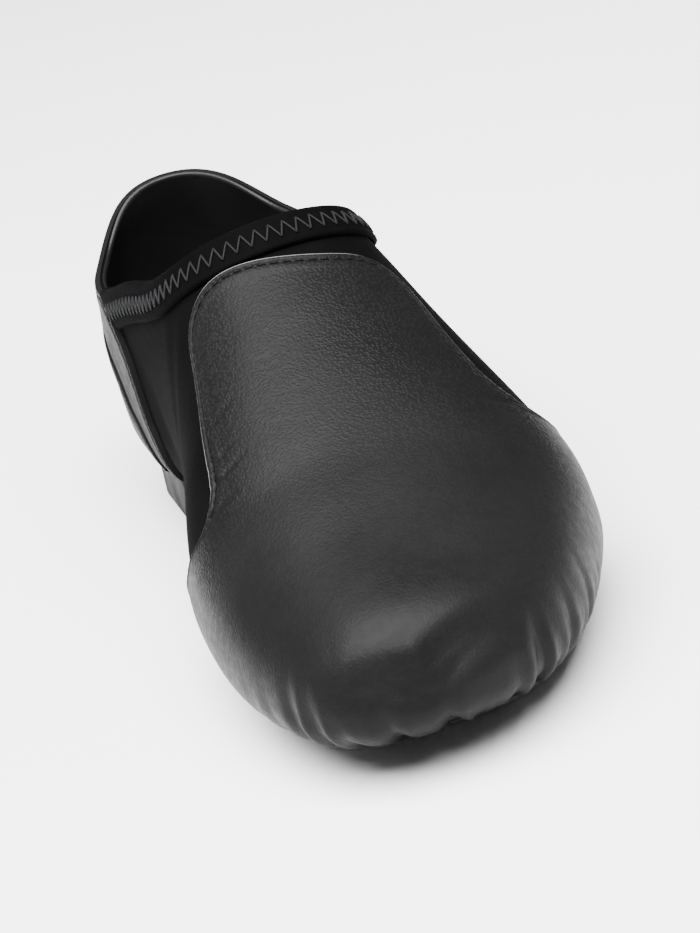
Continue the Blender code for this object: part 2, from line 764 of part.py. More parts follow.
def build_block(made):
    fine = np.linspace(-math.pi, math.pi, 2881)
    x, station = block_edge(fine)
    run = np.concatenate([[0], np.cumsum(np.hypot(np.diff(x), np.diff(station)))])
    bearing = np.interp(np.linspace(0, run[-1], 49)[:-1], run, fine)
    middle_y = HEEL_BLOCK_BACK + HEEL_BLOCK_WIDTH / 2
    x, station = block_edge(bearing)
    shares = np.array([0.0, 0.6, 0.88, 1.0])[:, None]
    grid = under(BLOCK_SIDE + (x - BLOCK_SIDE) * shares, middle_y + (station - middle_y) * shares)
    top = place(grid)
    top[..., 2] -= 1.5 * GAP
    rings = [
        block_ring(x, station, share, HEEL_TAPER + HEEL_CHAMFER, 0.0) for share in shares[:, 0]
    ]
    bottom = np.stack([*rings, block_ring(x, station, 1.0, HEEL_TAPER, HEEL_CHAMFER)])
    rows, columns = top.shape[:2]
    points = [top[0, 0]]
    for i in range(1, rows):
        points.extend(top[i])
    for i in (rows, *range(rows - 1, 0, -1)):
        points.extend(bottom[i])
    points.append(bottom[0, 0])
    faces = []
    bands = (len(points) - 2) // columns
    for j in range(columns):
        k = (j + 1) % columns
        faces.append((0, 1 + j, 1 + k))
        for i in range(bands - 1):
            a = 1 + i * columns
            b = a + columns
            faces.append((a + j, b + j, b + k, a + k))
        a = 1 + (bands - 1) * columns
        faces.append((a + j, len(points) - 1, a + k))
    body("heel_block", points, faces, made)


def build_insole(made):
    angle = np.linspace(0.16, math.pi - 0.16, 25)
    share = 0.495 - 0.464 * np.cos(angle)
    spread = np.radians(44) * np.sin(angle) ** 0.62
    across = np.linspace(-1, 1, 7)[:, None]
    offset = across * spread[None]
    turns = np.where(offset >= 0, math.pi - offset, -math.pi - offset)
    grid = heading(share[None] + 0 * turns, turns)
    floor = np.full(grid.shape[:2], -WALL - GAP)
    wall("insole", skin(grid, floor), skin(grid, floor - INSOLE_DEPTH), made)


def build():
    for shape in list(bpy.data.objects):
        bpy.data.objects.remove(shape, do_unlink=True)
    leather = material("black_leather", (0.045, 0.046, 0.048), 0.42)
    fabric = material("stretch_fabric", (0.008, 0.008, 0.009), 0.85)
    tape = material("elastic_tape", (0.012, 0.012, 0.013), 0.70)
    mesh_panel = material("perforated_panel", (0.012, 0.012, 0.013), 0.75)
    suede = material("suede", (0.016, 0.016, 0.017), 0.90)
    rubber = material("rubber", (0.030, 0.030, 0.032), 0.70)
    lining = material("insole_lining", (0.014, 0.014, 0.015), 0.60)
    build_upper(fabric)
    build_vamp(leather)
    build_counter(leather, leather)
    build_binding(tape)
    build_panel(mesh_panel)
    build_pad(suede)
    build_block(rubber)
    build_insole(lining)
    corners = np.array([[v.co[:] for v in shape.data.vertices] for shape in nodes[:1]][0])
    for shape in nodes[1:]:
        corners = np.concatenate([corners, [v.co[:] for v in shape.data.vertices]])
    low = corners.min(0)
    high = corners.max(0)
    shift = np.array([-(low[0] + high[0]) / 2, -(low[1] + high[1]) / 2, -low[2]])
    for shape in nodes:
        for vertex in shape.data.vertices:
            vertex.co = [vertex.co[k] + shift[k] for k in range(3)]


build()
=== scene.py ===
# Looks of the left jazz shoe: fine leather, fabric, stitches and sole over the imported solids
import math

import bpy
import numpy as np
from mathutils import Matrix, Vector


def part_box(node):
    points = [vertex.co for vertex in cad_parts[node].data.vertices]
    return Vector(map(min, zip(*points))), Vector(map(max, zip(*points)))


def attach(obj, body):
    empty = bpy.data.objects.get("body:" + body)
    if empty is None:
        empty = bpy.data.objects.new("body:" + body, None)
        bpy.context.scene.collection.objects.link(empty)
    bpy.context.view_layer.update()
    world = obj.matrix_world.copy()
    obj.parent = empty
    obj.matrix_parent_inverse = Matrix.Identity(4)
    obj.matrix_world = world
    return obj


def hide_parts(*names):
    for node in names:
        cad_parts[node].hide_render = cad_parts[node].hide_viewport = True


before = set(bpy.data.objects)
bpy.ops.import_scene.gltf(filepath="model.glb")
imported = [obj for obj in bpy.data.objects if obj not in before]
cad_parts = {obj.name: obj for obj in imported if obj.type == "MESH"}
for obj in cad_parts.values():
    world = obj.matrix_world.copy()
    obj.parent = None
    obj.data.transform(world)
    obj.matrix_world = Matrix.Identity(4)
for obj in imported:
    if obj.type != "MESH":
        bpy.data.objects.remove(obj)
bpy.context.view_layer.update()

# Driving sizes, in metres
LAST_LENGTH = 0.2425
BALL_WIDTH = 0.0930
INSTEP_HEIGHT = 0.0925
HEEL_HEIGHT = 0.0128
WALL = 0.0016
LEATHER = 0.0011
GAP = 0.00035
PAD_LENGTH = 0.074
PAD_DEPTH = 0.0037
HEEL_BLOCK_WIDTH = 0.0535
HEEL_BLOCK_LENGTH = 0.0580
HEEL_BLOCK_BACK = 0.0055
HEEL_TAPER = 0.0008
HEEL_CHAMFER = 0.0008
BREAST_GAP = 0.000423
COLLAR_BACK = 0.077
BINDING_WIDTH = 0.009
BINDING_INSIDE = 0.0065
BINDING_SLANT = 1.3
PANEL_WIDTH = 0.037
PANEL_DRIFT = 0.008
WELT_RISE = 0.0009
UNDERSIDE_WIDTH = 0.026
INSOLE_DEPTH = 0.0022

# Sections of the last, heel to toe. Station is a share of LAST_LENGTH, medial and lateral are
# shares of BALL_WIDTH, wide and top are shares of INSTEP_HEIGHT, bottom is a share of
# HEEL_HEIGHT, and corner says how square the lower half of the section is.
SECTIONS = (
    # station, medial, lateral, bottom, wide, top, corner
    (0.000, 0.013, 0.013, 2.85, 0.400, 0.400, 0.80),
    (0.016, -0.118, 0.177, 1.60, 0.400, 0.810, 0.86),
    (0.049, -0.199, 0.277, 1.13, 0.383, 1.070, 0.92),
    (0.131, -0.280, 0.353, 1.00, 0.365, 1.276, 0.94),
    (0.245, -0.286, 0.363, 1.00, 0.365, 1.297, 0.92),
    (0.359, -0.283, 0.387, 1.06, 0.365, 1.146, 0.84),
    (0.457, -0.312, 0.433, 0.98, 0.340, 1.000, 0.78),
    (0.551, -0.368, 0.488, 0.63, 0.297, 0.846, 0.74),
    (0.633, -0.430, 0.535, 0.33, 0.248, 0.726, 0.74),
    (0.714, -0.454, 0.546, 0.26, 0.217, 0.612, 0.74),
    (0.796, -0.452, 0.477, 0.26, 0.195, 0.519, 0.74),
    (0.865, -0.425, 0.391, 0.35, 0.189, 0.459, 0.74),
    (0.931, -0.372, 0.271, 0.59, 0.184, 0.411, 0.74),
    (0.976, -0.290, 0.133, 0.90, 0.190, 0.340, 0.74),
    (1.000, -0.075, -0.075, 1.42, 0.195, 0.195, 0.74),
)

# Height of the collar's edge. Station is a share of LAST_LENGTH, height a share of COLLAR_BACK.
COLLAR = (
    # station, height
    (-0.020, 1.000),
    (0.012, 0.990),
    (0.050, 0.875),
    (0.110, 0.805),
    (0.170, 0.805),
    (0.230, 0.860),
    (0.300, 0.930),
    (0.390, 1.010),
    (0.445, 1.105),
    (0.478, 1.180),
    (0.530, 1.350),
)

# Edge of the vamp, from the medial underside over the tongue to the lateral underside.
# Station is a share of LAST_LENGTH, turn is in degrees from the ridge, lateral side positive.
VAMP_EDGE = (
    # station, turn
    (0.628, -157.0),
    (0.602, -156.0),
    (0.580, -150.0),
    (0.568, -140.0),
    (0.566, -128.0),
    (0.574, -116.0),
    (0.599, -103.0),
    (0.628, -91.0),
    (0.655, -80.0),
    (0.676, -69.0),
    (0.687, -60.0),
    (0.681, -52.0),
    (0.655, -47.5),
    (0.600, -45.5),
    (0.545, -44.0),
    (0.508, -42.0),
    (0.492, -36.0),
    (0.492, -26.0),
    (0.505, -12.0),
    (0.518, 2.0),
    (0.522, 14.0),
    (0.520, 24.0),
    (0.523, 31.0),
    (0.538, 36.0),
    (0.572, 37.5),
    (0.612, 38.0),
    (0.646, 39.5),
    (0.672, 43.0),
    (0.686, 50.0),
    (0.687, 59.0),
    (0.674, 70.0),
    (0.648, 82.0),
    (0.616, 95.0),
    (0.588, 108.0),
    (0.573, 121.0),
    (0.573, 134.0),
    (0.584, 146.0),
    (0.606, 154.0),
    (0.642, 156.5),
)

# Edge of the forefoot pad. Bearing is in degrees from the heelward direction, lateral side
# positive, and reach is a share of PAD_LENGTH.
PAD_EDGE = (
    # bearing, reach
    (-180.0, 0.462),
    (-161.0, 0.462),
    (-141.0, 0.447),
    (-118.0, 0.415),
    (-90.0, 0.398),
    (-63.0, 0.440),
    (-46.0, 0.492),
    (-34.0, 0.515),
    (-24.0, 0.505),
    (-14.0, 0.455),
    (-4.0, 0.385),
    (5.0, 0.338),
    (12.0, 0.325),
    (18.0, 0.360),
    (26.0, 0.440),
    (35.0, 0.492),
    (48.0, 0.505),
    (63.0, 0.470),
    (90.0, 0.405),
    (118.0, 0.385),
    (147.0, 0.405),
    (166.0, 0.440),
)
PAD_X = 0.080 * BALL_WIDTH
PAD_Y = 0.775 * LAST_LENGTH

# Counter, from the underside up its front edge to the collar. The edge and the seam inside it
# are each given by a station share and a turn in degrees from the ridge.
COUNTER = (
    # edge_station, edge_turn, seam_station, seam_turn
    (0.288, 149.0, 0.2636, 149.0),
    (0.295, 136.0, 0.2634, 138.0),
    (0.298, 122.0, 0.2592, 121.5),
    (0.295, 108.0, 0.2465, 107.0),
    (0.285, 95.0, 0.2290, 96.5),
    (0.265, 85.0, 0.2050, 89.5),
    (0.238, 78.0, 0.1770, 85.0),
)
# The seam behind that, under the collar, up to the back of the heel
SEAM = (
    # station, turn
    (0.1470, 82.5),
    (0.1160, 80.0),
    (0.0850, 76.5),
    (0.0570, 71.0),
    (0.0340, 61.0),
    (0.0190, 43.0),
    (0.0115, 21.0),
    (0.0102, 0.0),
)
COLLAR_CENTRE = (0.235, 0.0)
COUNTER_CORNER = 0.172
VAMP_CENTRE = (0.690, 0.0)
VAMP_NEAR_LEAN = 0.30
VAMP_FAR_LEAN = -0.18
CUP_CENTRE = (0.030, 180.0)
PANEL_START = (HEEL_BLOCK_BACK + HEEL_BLOCK_LENGTH + BREAST_GAP) / LAST_LENGTH
UNDERSIDE_START = 0.070
UNDERSIDE_END = 0.860

PAD_SEAM = 0.0065
SEAM_STEPS = 24
CURVE_SAMPLES = 2400
CURVE_WINDOW = 29
CURVE_LEAST_BEND = 18
BISECTIONS = 40
# Small steps on the unit sphere, for a normal and for a distance
NORMAL_STEP = 0.004
SHORT_STEP = 0.01


def spline(x, y):
    """Natural cubic spline through the rows of a table, as a function."""
    x = np.asarray(x, float)
    y = np.asarray(y, float)
    steps = np.diff(x)
    slopes = np.diff(y, axis=0) / steps.reshape(-1, *[1] * (y.ndim - 1))
    count = len(x)
    matrix = np.eye(count)
    right = np.zeros_like(y)
    for i in range(1, count - 1):
        matrix[i, i - 1] = steps[i - 1]
        matrix[i, i] = 2 * (steps[i - 1] + steps[i])
        matrix[i, i + 1] = steps[i]
        right[i] = 6 * (slopes[i] - slopes[i - 1])
    bend = np.linalg.solve(matrix, right)

    def value(at):
        at = np.asarray(at, float)
        i = np.clip(np.searchsorted(x, at) - 1, 0, count - 2)
        t = at - x[i]
        h = steps[i]
        if y.ndim > 1:
            t = t[..., None]
            h = h[..., None]
        linear = (y[i + 1] - y[i]) / h - h * (2 * bend[i] + bend[i + 1]) / 6
        return y[i] + t * (linear + t * (bend[i] / 2 + t * (bend[i + 1] - bend[i]) / (6 * h)))

    return value


def periodic(x, y, period):
    """Smooth closed curve through the rows of a table whose last row leads back to its first."""
    x = np.concatenate([np.asarray(x) - period, x, np.asarray(x) + period])
    return spline(x, np.concatenate([y, y, y]))


def arc(share):
    """Angle along the last, 0 at the heel and pi at the toe, so that both ends come out round."""
    return np.arccos(np.clip(1 - 2 * share, -1, 1))


ROWS = np.array(SECTIONS)
SECTION = spline(arc(ROWS[:, 0]), ROWS[:, 1:])
COLLAR_ROWS = np.array(COLLAR)
COLLAR_HEIGHT = spline(COLLAR_ROWS[:, 0], COLLAR_ROWS[:, 1])


def section_middle(share):
    """Side of the last's middle line at a share of its length."""
    row = SECTION(arc(share))
    return (row[..., 0] + row[..., 1]) / 2 * BALL_WIDTH


def span(v):
    return np.linalg.norm(v, axis=-1)


def unit(v):
    return v / span(v)[..., None]


def summed(steps):
    """Running sum of steps down their first axis, from 0."""
    return np.concatenate([0 * steps[:1], np.cumsum(steps, axis=0)])


def running(places):
    """Running length through places."""
    return summed(span(np.diff(places, axis=0)))


def bisected(low, high, inside):
    """Highest value from low to high that is still inside."""
    for _ in range(BISECTIONS):
        half = (low + high) / 2
        within = inside(half)
        low = np.where(within, half, low)
        high = np.where(within, high, half)
    return low


def bezier(a, b, c, d, t):
    return a * (1 - t) ** 3 + 3 * b * (1 - t) ** 2 * t + 3 * c * (1 - t) * t**2 + d * t**3


def last(share, turn):
    """Point of the last at a share of its length and a turn in radians from its ridge."""
    row = SECTION(arc(share))
    medial = row[..., 0] * BALL_WIDTH
    lateral = row[..., 1] * BALL_WIDTH
    bottom = row[..., 2] * HEEL_HEIGHT
    wide = row[..., 3] * INSTEP_HEIGHT
    top = row[..., 4] * INSTEP_HEIGHT
    corner = row[..., 5]
    middle = (medial + lateral) / 2
    reach = np.where(turn > 0, lateral, medial) - middle
    quarter = np.abs(turn) / (math.pi / 2)
    up = np.clip(quarter, 0, 1)
    low = np.clip(quarter - 1, 0, 1)
    over = bezier(0, 0.60, 1, 1, up)
    under = bezier(1, 1, corner, 0, low)
    x = middle + reach * np.where(quarter > 1, under, over)
    z_over = wide + (top - wide) * bezier(1, 1, 0.55, 0, up)
    z_under = wide - (wide - bottom) * bezier(0, corner - 0.12, 1, 1, low)
    z = np.where(quarter > 1, z_under, z_over)
    return np.stack([x, -share * LAST_LENGTH + 0 * z, z], -1)


def heading(share, turn):
    """Unit vector (forward, side, up) that stands for a place on the last."""
    forward = 2 * np.asarray(share, float) - 1
    across = np.sqrt(np.clip(1 - forward**2, 0, 1))
    side = across * np.sin(turn)
    return np.stack([forward + 0 * side, side, across * np.cos(turn)], -1)


def traced(rows, at):
    """Headings on a smooth curve through rows of a station share and a turn in degrees."""
    rows = np.array(rows, float)
    turns = np.radians(rows[:, 1])
    curve = spline(np.arange(len(rows)), np.stack([rows[:, 0], turns], -1))(at)
    return heading(curve[:, 0], curve[:, 1])


def place(way):
    """Point of the last that a heading stands for."""
    way = unit(way)
    return last((1 + way[..., 0]) / 2, np.arctan2(way[..., 1], way[..., 2]))


def skin(way, rise):
    """Point at a rise outside the last, along its normal there."""
    way = unit(way)
    helper = np.where(np.abs(way[..., 1:2]) < 0.8, (0.0, 1.0, 0.0), (0.0, 0.0, 1.0))
    first = unit(np.cross(way, helper))
    second = np.cross(way, first)
    along = place(way + NORMAL_STEP * first) - place(way - NORMAL_STEP * first)
    across = place(way + NORMAL_STEP * second) - place(way - NORMAL_STEP * second)
    return place(way) + unit(np.cross(along, across)) * np.asarray(rise)[..., None]


def between(start, end, share):
    """Headings on the great circle from one heading to another."""
    dot = np.clip((start * end).sum(-1, keepdims=True), -1, 1)
    angle = np.arccos(dot)
    lead = end - dot * start
    lead = lead / np.maximum(np.linalg.norm(lead, axis=-1, keepdims=True), 1e-12)
    return start * np.cos(angle * share) + lead * np.sin(angle * share)


def moved(way, target, distance):
    """Heading moved towards a target by a distance measured on the last."""
    near = between(way, target, SHORT_STEP)
    length = span(place(near) - place(way))[..., None]
    return between(way, target, SHORT_STEP * distance / length)


def along(values, at, run):
    """Rows of a table of three columns, read at places along its run."""
    return np.stack([np.interp(at, run, values[:, k]) for k in range(3)], -1)


def evenly(points, count, closed=False):
    """Headings along a curve of headings, spaced by its length and closer where it bends."""
    places = place(points)
    run = running(places)
    fine = np.linspace(0, run[-1], CURVE_SAMPLES + 1)
    places = along(places, fine, run)
    runs = np.diff(places, axis=0)
    ways = unit(runs)
    turns = np.arccos(np.clip((ways[1:] * ways[:-1]).sum(-1), -1, 1))
    turns = np.concatenate([turns[-1:] * 0, turns]) * CURVE_SAMPLES / run[-1]
    window = np.ones(CURVE_WINDOW) / CURVE_WINDOW
    padded = np.pad(turns, CURVE_WINDOW // 2, mode="wrap" if closed else "edge")
    bends = np.convolve(padded, window, "valid")[:CURVE_SAMPLES]
    weight = summed(np.sqrt(bends + CURVE_LEAST_BEND))
    marks = np.linspace(0, weight[-1], count + 1 if closed else count)
    marks = marks[:-1] if closed else marks
    found = along(points, np.interp(marks, weight, fine), run)
    return unit(found)


def under(x, station):
    """Heading of the place on the last's underside at a side x and a station, both in metres."""
    share = station / LAST_LENGTH
    row = SECTION(arc(share))
    middle = (row[..., 0] + row[..., 1]) / 2 * BALL_WIDTH
    edge = np.where(x > middle, row[..., 1], row[..., 0]) * BALL_WIDTH
    part = np.clip((x - middle) / (edge - middle), 0, 0.999)

    def inside(low):
        return bezier(1, 1, row[..., 5], 0, low) > part

    turn = (1 + bisected(0 * part, 1 + 0 * part, inside)) * math.pi / 2
    return heading(share, np.where(x > middle, turn, -turn))


# Collar's edge, by bearing round the opening's centre: 0 points forward, lateral side positive
CENTRE = heading(COLLAR_CENTRE[0], COLLAR_CENTRE[1])
FORWARD = np.array([CENTRE[2], 0.0, -CENTRE[0]])
SIDEWAYS = np.array([0.0, 1.0, 0.0])


def from_collar(bearing, angle):
    lead = np.cos(bearing)[..., None] * FORWARD + np.sin(bearing)[..., None] * SIDEWAYS
    return CENTRE * np.cos(angle)[..., None] + lead * np.sin(angle)[..., None]


def collar_angle(bearing):
    def above(angle):
        point = place(from_collar(bearing, angle))
        share = np.clip(-point[..., 1] / LAST_LENGTH, -0.02, 0.5)
        return point[..., 2] > COLLAR_HEIGHT(share) * COLLAR_BACK

    return bisected(0.05 + 0 * bearing, 1.9 + 0 * bearing, above)


def collar_point(bearing, drop=0.0):
    """Heading at a drop below the collar's edge, in metres along the last."""
    angle = collar_angle(bearing)
    edge = place(from_collar(bearing, angle))
    ahead = place(from_collar(bearing, angle + SHORT_STEP))
    scale = SHORT_STEP / span(ahead - edge)
    return from_collar(bearing, angle + drop * scale)


def bearing_at(share):
    """Bearing of the collar's edge at a station share, on the lateral side."""

    def ahead(bearing):
        return -place(collar_point(np.array([bearing])))[0, 1] > share * LAST_LENGTH

    return float(bisected(0.3, math.pi - 0.05, ahead))


def mirrored(curve):
    return curve * np.array([1.0, -1.0, 1.0])


def pad_edge(bearing, out=0.0):
    """Side and station of the pad's edge at a bearing in radians, moved outward by out."""
    table = np.array(PAD_EDGE)
    reach = periodic(np.radians(table[:, 0]), table[:, 1], 2 * math.pi)(bearing) * PAD_LENGTH
    x = PAD_X + (reach + out) * np.sin(bearing)
    station = PAD_Y - (reach + out) * np.cos(bearing)
    return x, station


def block_edge(bearing, out=0.0):
    """Side and station of the heel block's edge. Bearing 0 points back, +-pi is the breast."""
    half = HEEL_BLOCK_WIDTH / 2
    middle = HEEL_BLOCK_BACK + half
    front = HEEL_BLOCK_BACK + HEEL_BLOCK_LENGTH
    back_x = np.sin(bearing)
    back_y = np.cos(bearing)
    round_part = np.full_like(bearing, half)
    side_part = half / np.maximum(np.abs(back_x), 1e-6)
    front_part = (front - middle) / np.maximum(-back_y, 1e-6)
    reach = np.where(back_y > 0, round_part, np.minimum(side_part, front_part)) + out
    x = BLOCK_SIDE + reach * back_x
    return x, middle - reach * back_y


def block_corner():
    """Bearing of the heel block's lateral front corner."""
    front = HEEL_BLOCK_LENGTH - HEEL_BLOCK_WIDTH / 2
    return math.pi - math.atan2(HEEL_BLOCK_WIDTH / 2, front)


# Share of the last's length where the heel block's middle follows the last's own
BLOCK_MIDDLE = 0.16
BLOCK_SIDE = section_middle(BLOCK_MIDDLE)


def curved(start, near, far, end, share):
    """Headings on a curve that leaves start towards near and reaches end from far."""
    middle = between(near, far, share)
    first = between(between(start, near, share), middle, share)
    second = between(middle, between(far, end, share), share)
    return between(first, second, share)


def panel_middle(share):
    """Side of the arch panel's middle line, which drifts outward towards the pad."""
    return section_middle(share) + PANEL_DRIFT * (share - PANEL_START)


def vamp_course(edge, lean, turn):
    """Headings that lead the vamp's columns round the sides and the toe to its lower edge."""
    forward = edge[:, 0]
    ahead = np.clip((forward - 0.35) / 0.4, 0, 1)
    inward = edge[:, 2] ** 2 / (1 - forward**2) * ahead
    leaning = lean * np.clip((0.6 - forward) / 0.35, 0, 1)
    forward = forward + (1 - forward) * inward + leaning
    return heading((1 + forward) / 2, np.sign(edge[:, 1]) * math.radians(turn))


def counter_lines():
    """Edge and seam of the counter as matching headings, lateral underside to medial underside."""
    front = np.array(COUNTER)
    corner = bearing_at(COUNTER_CORNER)
    seam_table = np.concatenate([front[:, 2:], np.array(SEAM)])
    final = len(seam_table) - 1
    fine = np.linspace(0, final, SEAM_STEPS * final + 1)
    seam = traced(seam_table, fine)
    back = np.linspace(corner, math.pi, len(SEAM))
    collar = collar_point(np.interp(fine, np.arange(len(front), final + 1), back))
    forward, side, up = collar_point(np.array([corner]))[0]
    corner_row = [((1 + forward) / 2, math.degrees(math.atan2(side, up)))]
    edge = traced(np.concatenate([front[:, :2], corner_row]), np.minimum(fine, len(front)))
    edge = np.where((fine < len(front))[:, None], edge, collar)
    edge = np.concatenate([edge, mirrored(edge[-2::-1])])
    seam = np.concatenate([seam, mirrored(seam[-2::-1])])
    return edge, seam


def contains(edge_x, edge_y, x, y):
    """Which points lie inside a closed outline."""
    inside = np.zeros(len(x), bool)
    for i in range(len(edge_x) - 1):
        crosses = (edge_y[i] > y) != (edge_y[i + 1] > y)
        rise = edge_y[i + 1] - edge_y[i]
        if rise == 0:
            continue
        cut = edge_x[i] + (y - edge_y[i]) * (edge_x[i + 1] - edge_x[i]) / rise
        inside ^= crosses & (x < cut)
    return inside


def block_ring(x, station, share, inset, height):
    """The heel block's outline drawn in to a share of itself and by an inset, at a height."""
    middle = HEEL_BLOCK_BACK + HEEL_BLOCK_WIDTH / 2
    scale = share * (1 - inset / (HEEL_BLOCK_WIDTH / 2))
    side = BLOCK_SIDE + (x - BLOCK_SIDE) * scale
    return np.stack([side, -(middle + (station - middle) * scale), height + 0 * x], -1)


def where_the_part_is():
    """Shift from the last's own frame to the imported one, read from the heel block."""
    low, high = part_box("heel_block")
    return np.array([(low[0] + high[0]) / 2 - BLOCK_SIDE, high[1] + HEEL_BLOCK_BACK, 0.0])


SHIFT = where_the_part_is()


def soft(value, low, high):
    """0 below low, 1 above high, smooth between."""
    t = np.clip((value - low) / (high - low), 0, 1)
    return t * t * (3 - 2 * t)


def hump(value, middle, width):
    """1 at the middle, falling off smoothly over a width to both sides."""
    return np.exp(-(((value - middle) / width) ** 2))


# Creases and swells, each along places on the last. Station is a share of LAST_LENGTH, turn is
# in degrees from the ridge, depth and width are shares of BALL_WIDTH, and a swell's depth is
# below nothing.
CREASES = (
    # station, turn, station, turn, station, turn, depth, width
    (0.668, -50.0, 0.674, -43.0, 0.676, -33.0, 0.0034, 0.0090),
    (0.650, -48.5, 0.655, -42.0, 0.655, -35.0, 0.0022, 0.0080),
    (0.684, -57.0, 0.695, -50.0, 0.700, -40.0, 0.0024, 0.0110),
    (0.612, -45.0, 0.618, -38.0, 0.616, -30.0, 0.0018, 0.0090),
    (0.655, 41.0, 0.662, 33.0, 0.664, 24.0, 0.0026, 0.0100),
    (0.684, 52.0, 0.696, 44.0, 0.702, 33.0, 0.0034, 0.0130),
    (0.735, -58.0, 0.730, -30.0, 0.735, -5.0, 0.0026, 0.0600),
    (0.760, 45.0, 0.748, 22.0, 0.750, 0.0, 0.0022, 0.0560),
    (0.800, -35.0, 0.785, -8.0, 0.800, 22.0, -0.0020, 0.0600),
    (0.860, -40.0, 0.845, 0.0, 0.850, 45.0, 0.0012, 0.0700),
    (0.600, -30.0, 0.570, -8.0, 0.590, 22.0, -0.0020, 0.0700),
    (0.640, -75.0, 0.700, -82.0, 0.770, -80.0, 0.0040, 0.0500),
    (0.630, 76.0, 0.700, 84.0, 0.770, 84.0, 0.0040, 0.0500),
    (0.300, -80.0, 0.400, -95.0, 0.480, -100.0, 0.0055, 0.0650),
    (0.330, -100.0, 0.420, -112.0, 0.500, -112.0, -0.0045, 0.0500),
    (0.300, 80.0, 0.400, 95.0, 0.480, 100.0, 0.0055, 0.0650),
    (0.330, 100.0, 0.420, 112.0, 0.500, 112.0, -0.0045, 0.0500),
    (0.430, -40.0, 0.470, -62.0, 0.520, -78.0, 0.0030, 0.0360),
    (0.430, 40.0, 0.470, 60.0, 0.520, 76.0, 0.0030, 0.0360),
    (0.455, -75.0, 0.500, -92.0, 0.548, -103.0, 0.0026, 0.0300),
    (0.970, -66.0, 0.996, -10.0, 0.958, 70.0, 0.0170, 0.0460),
    (0.945, -50.0, 0.965, -8.0, 0.940, 48.0, -0.0050, 0.0800),
    (0.060, -60.0, 0.120, -100.0, 0.150, -120.0, 0.0045, 0.0800),
    (0.060, 60.0, 0.120, 100.0, 0.150, 120.0, 0.0045, 0.0800),
)
CREASE_POINTS = 25
# The low ridge beside a crease: its share of the depth, and its place and width in crease widths
NARROW_CREASE = 0.02
NARROW_RIDGE = 0.32
BROAD_RIDGE = 0.12
RIDGE_AWAY = 1.7
RIDGE_WIDTH = math.sqrt(0.5)
# A crease is looked for within this many widths, and fades towards its ends
CREASE_REACH = 4
CREASE_TIP = 0.04
CREASE_FADE = 0.6

# Gathers of the leather round the toe, where it is drawn under to the pad. Bearing is in
# degrees round the pad's middle, as in PAD_EDGE, depth, width and reach are shares of BALL_WIDTH,
# and slant is how many degrees the fold turns on its way up.
PLEATS = (
    # bearing, depth, width, reach, slant
    (-118.0, 0.0060, 0.0150, 0.390, 9.0),
    (-127.5, 0.0110, 0.0140, 0.430, 10.0),
    (-136.0, 0.0220, 0.0130, 0.510, 9.0),
    (-142.5, 0.0270, 0.0120, 0.480, 8.0),
    (-148.5, 0.0215, 0.0125, 0.430, 7.0),
    (-156.0, 0.0280, 0.0140, 0.480, 5.0),
    (-166.5, 0.0330, 0.0150, 0.410, 3.0),
    (-173.0, 0.0110, 0.0110, 0.270, 2.0),
    (178.0, 0.0130, 0.0120, 0.350, 0.0),
    (171.0, 0.0330, 0.0145, 0.420, -3.0),
    (164.5, 0.0110, 0.0120, 0.270, -4.0),
    (157.0, 0.0150, 0.0140, 0.360, -6.0),
    (148.0, 0.0080, 0.0120, 0.250, -7.0),
    (139.5, 0.0110, 0.0140, 0.350, -8.0),
    (131.0, 0.0070, 0.0130, 0.250, -8.0),
    (121.5, 0.0060, 0.0140, 0.290, -8.0),
)
PLEAT_SPREAD = 0.6
PLEAT_STEEP_SIDE = 1.2
PLEAT_FLAT_SIDE = 0.85
PLEAT_SHARPNESS = 1.6
PLEAT_RIDGE = 0.28
PLEAT_RIDGE_AWAY = 1.9
PLEAT_RIDGE_WIDTH = math.sqrt(0.8)
PLEAT_FADE = 1.2
PLEAT_FOOT = 0.0012
PLEAT_FOOT_SHARE = 0.35
WALL_START = 0.006
PLEAT_FADE_LOW = 0.016
PLEAT_FADE_HIGH = 0.030
PLEAT_REAR = -0.012
PAD_INSIDE = 0.8


def crease_rise(way):
    """How far the creases and swells move the surface at these headings, in metres."""
    at = place(way)
    rise = np.zeros(at.shape[:-1])
    for row in CREASES:
        line = place(traced(np.reshape(row[:6], (3, 2)), np.linspace(0, 2, CREASE_POINTS)))
        width = row[7] * BALL_WIDTH
        middle = line.mean(0)
        size = np.abs(line - middle).max() + CREASE_REACH * width
        near = (np.abs(at - middle) < size).all(-1)
        if not near.any():
            continue
        steps = np.diff(line, axis=0)
        gaps = at[near][:, None] - line[None, :-1]
        part = np.clip((gaps * steps).sum(-1) / (steps**2).sum(-1), 0, 1)
        away = span(gaps - part[..., None] * steps)
        closest = away.argmin(1)
        run = (closest + part[np.arange(len(part)), closest]) / len(steps)
        fade = np.sin(np.pi * np.clip(run, CREASE_TIP, 1 - CREASE_TIP)) ** CREASE_FADE
        away = away.min(1) / width
        ridge = NARROW_RIDGE if row[7] < NARROW_CREASE else BROAD_RIDGE
        shape = hump(away, 0.0, 1.0) - ridge * hump(away, RIDGE_AWAY, RIDGE_WIDTH)
        rise[near] -= row[6] * BALL_WIDTH * shape * fade
    return rise


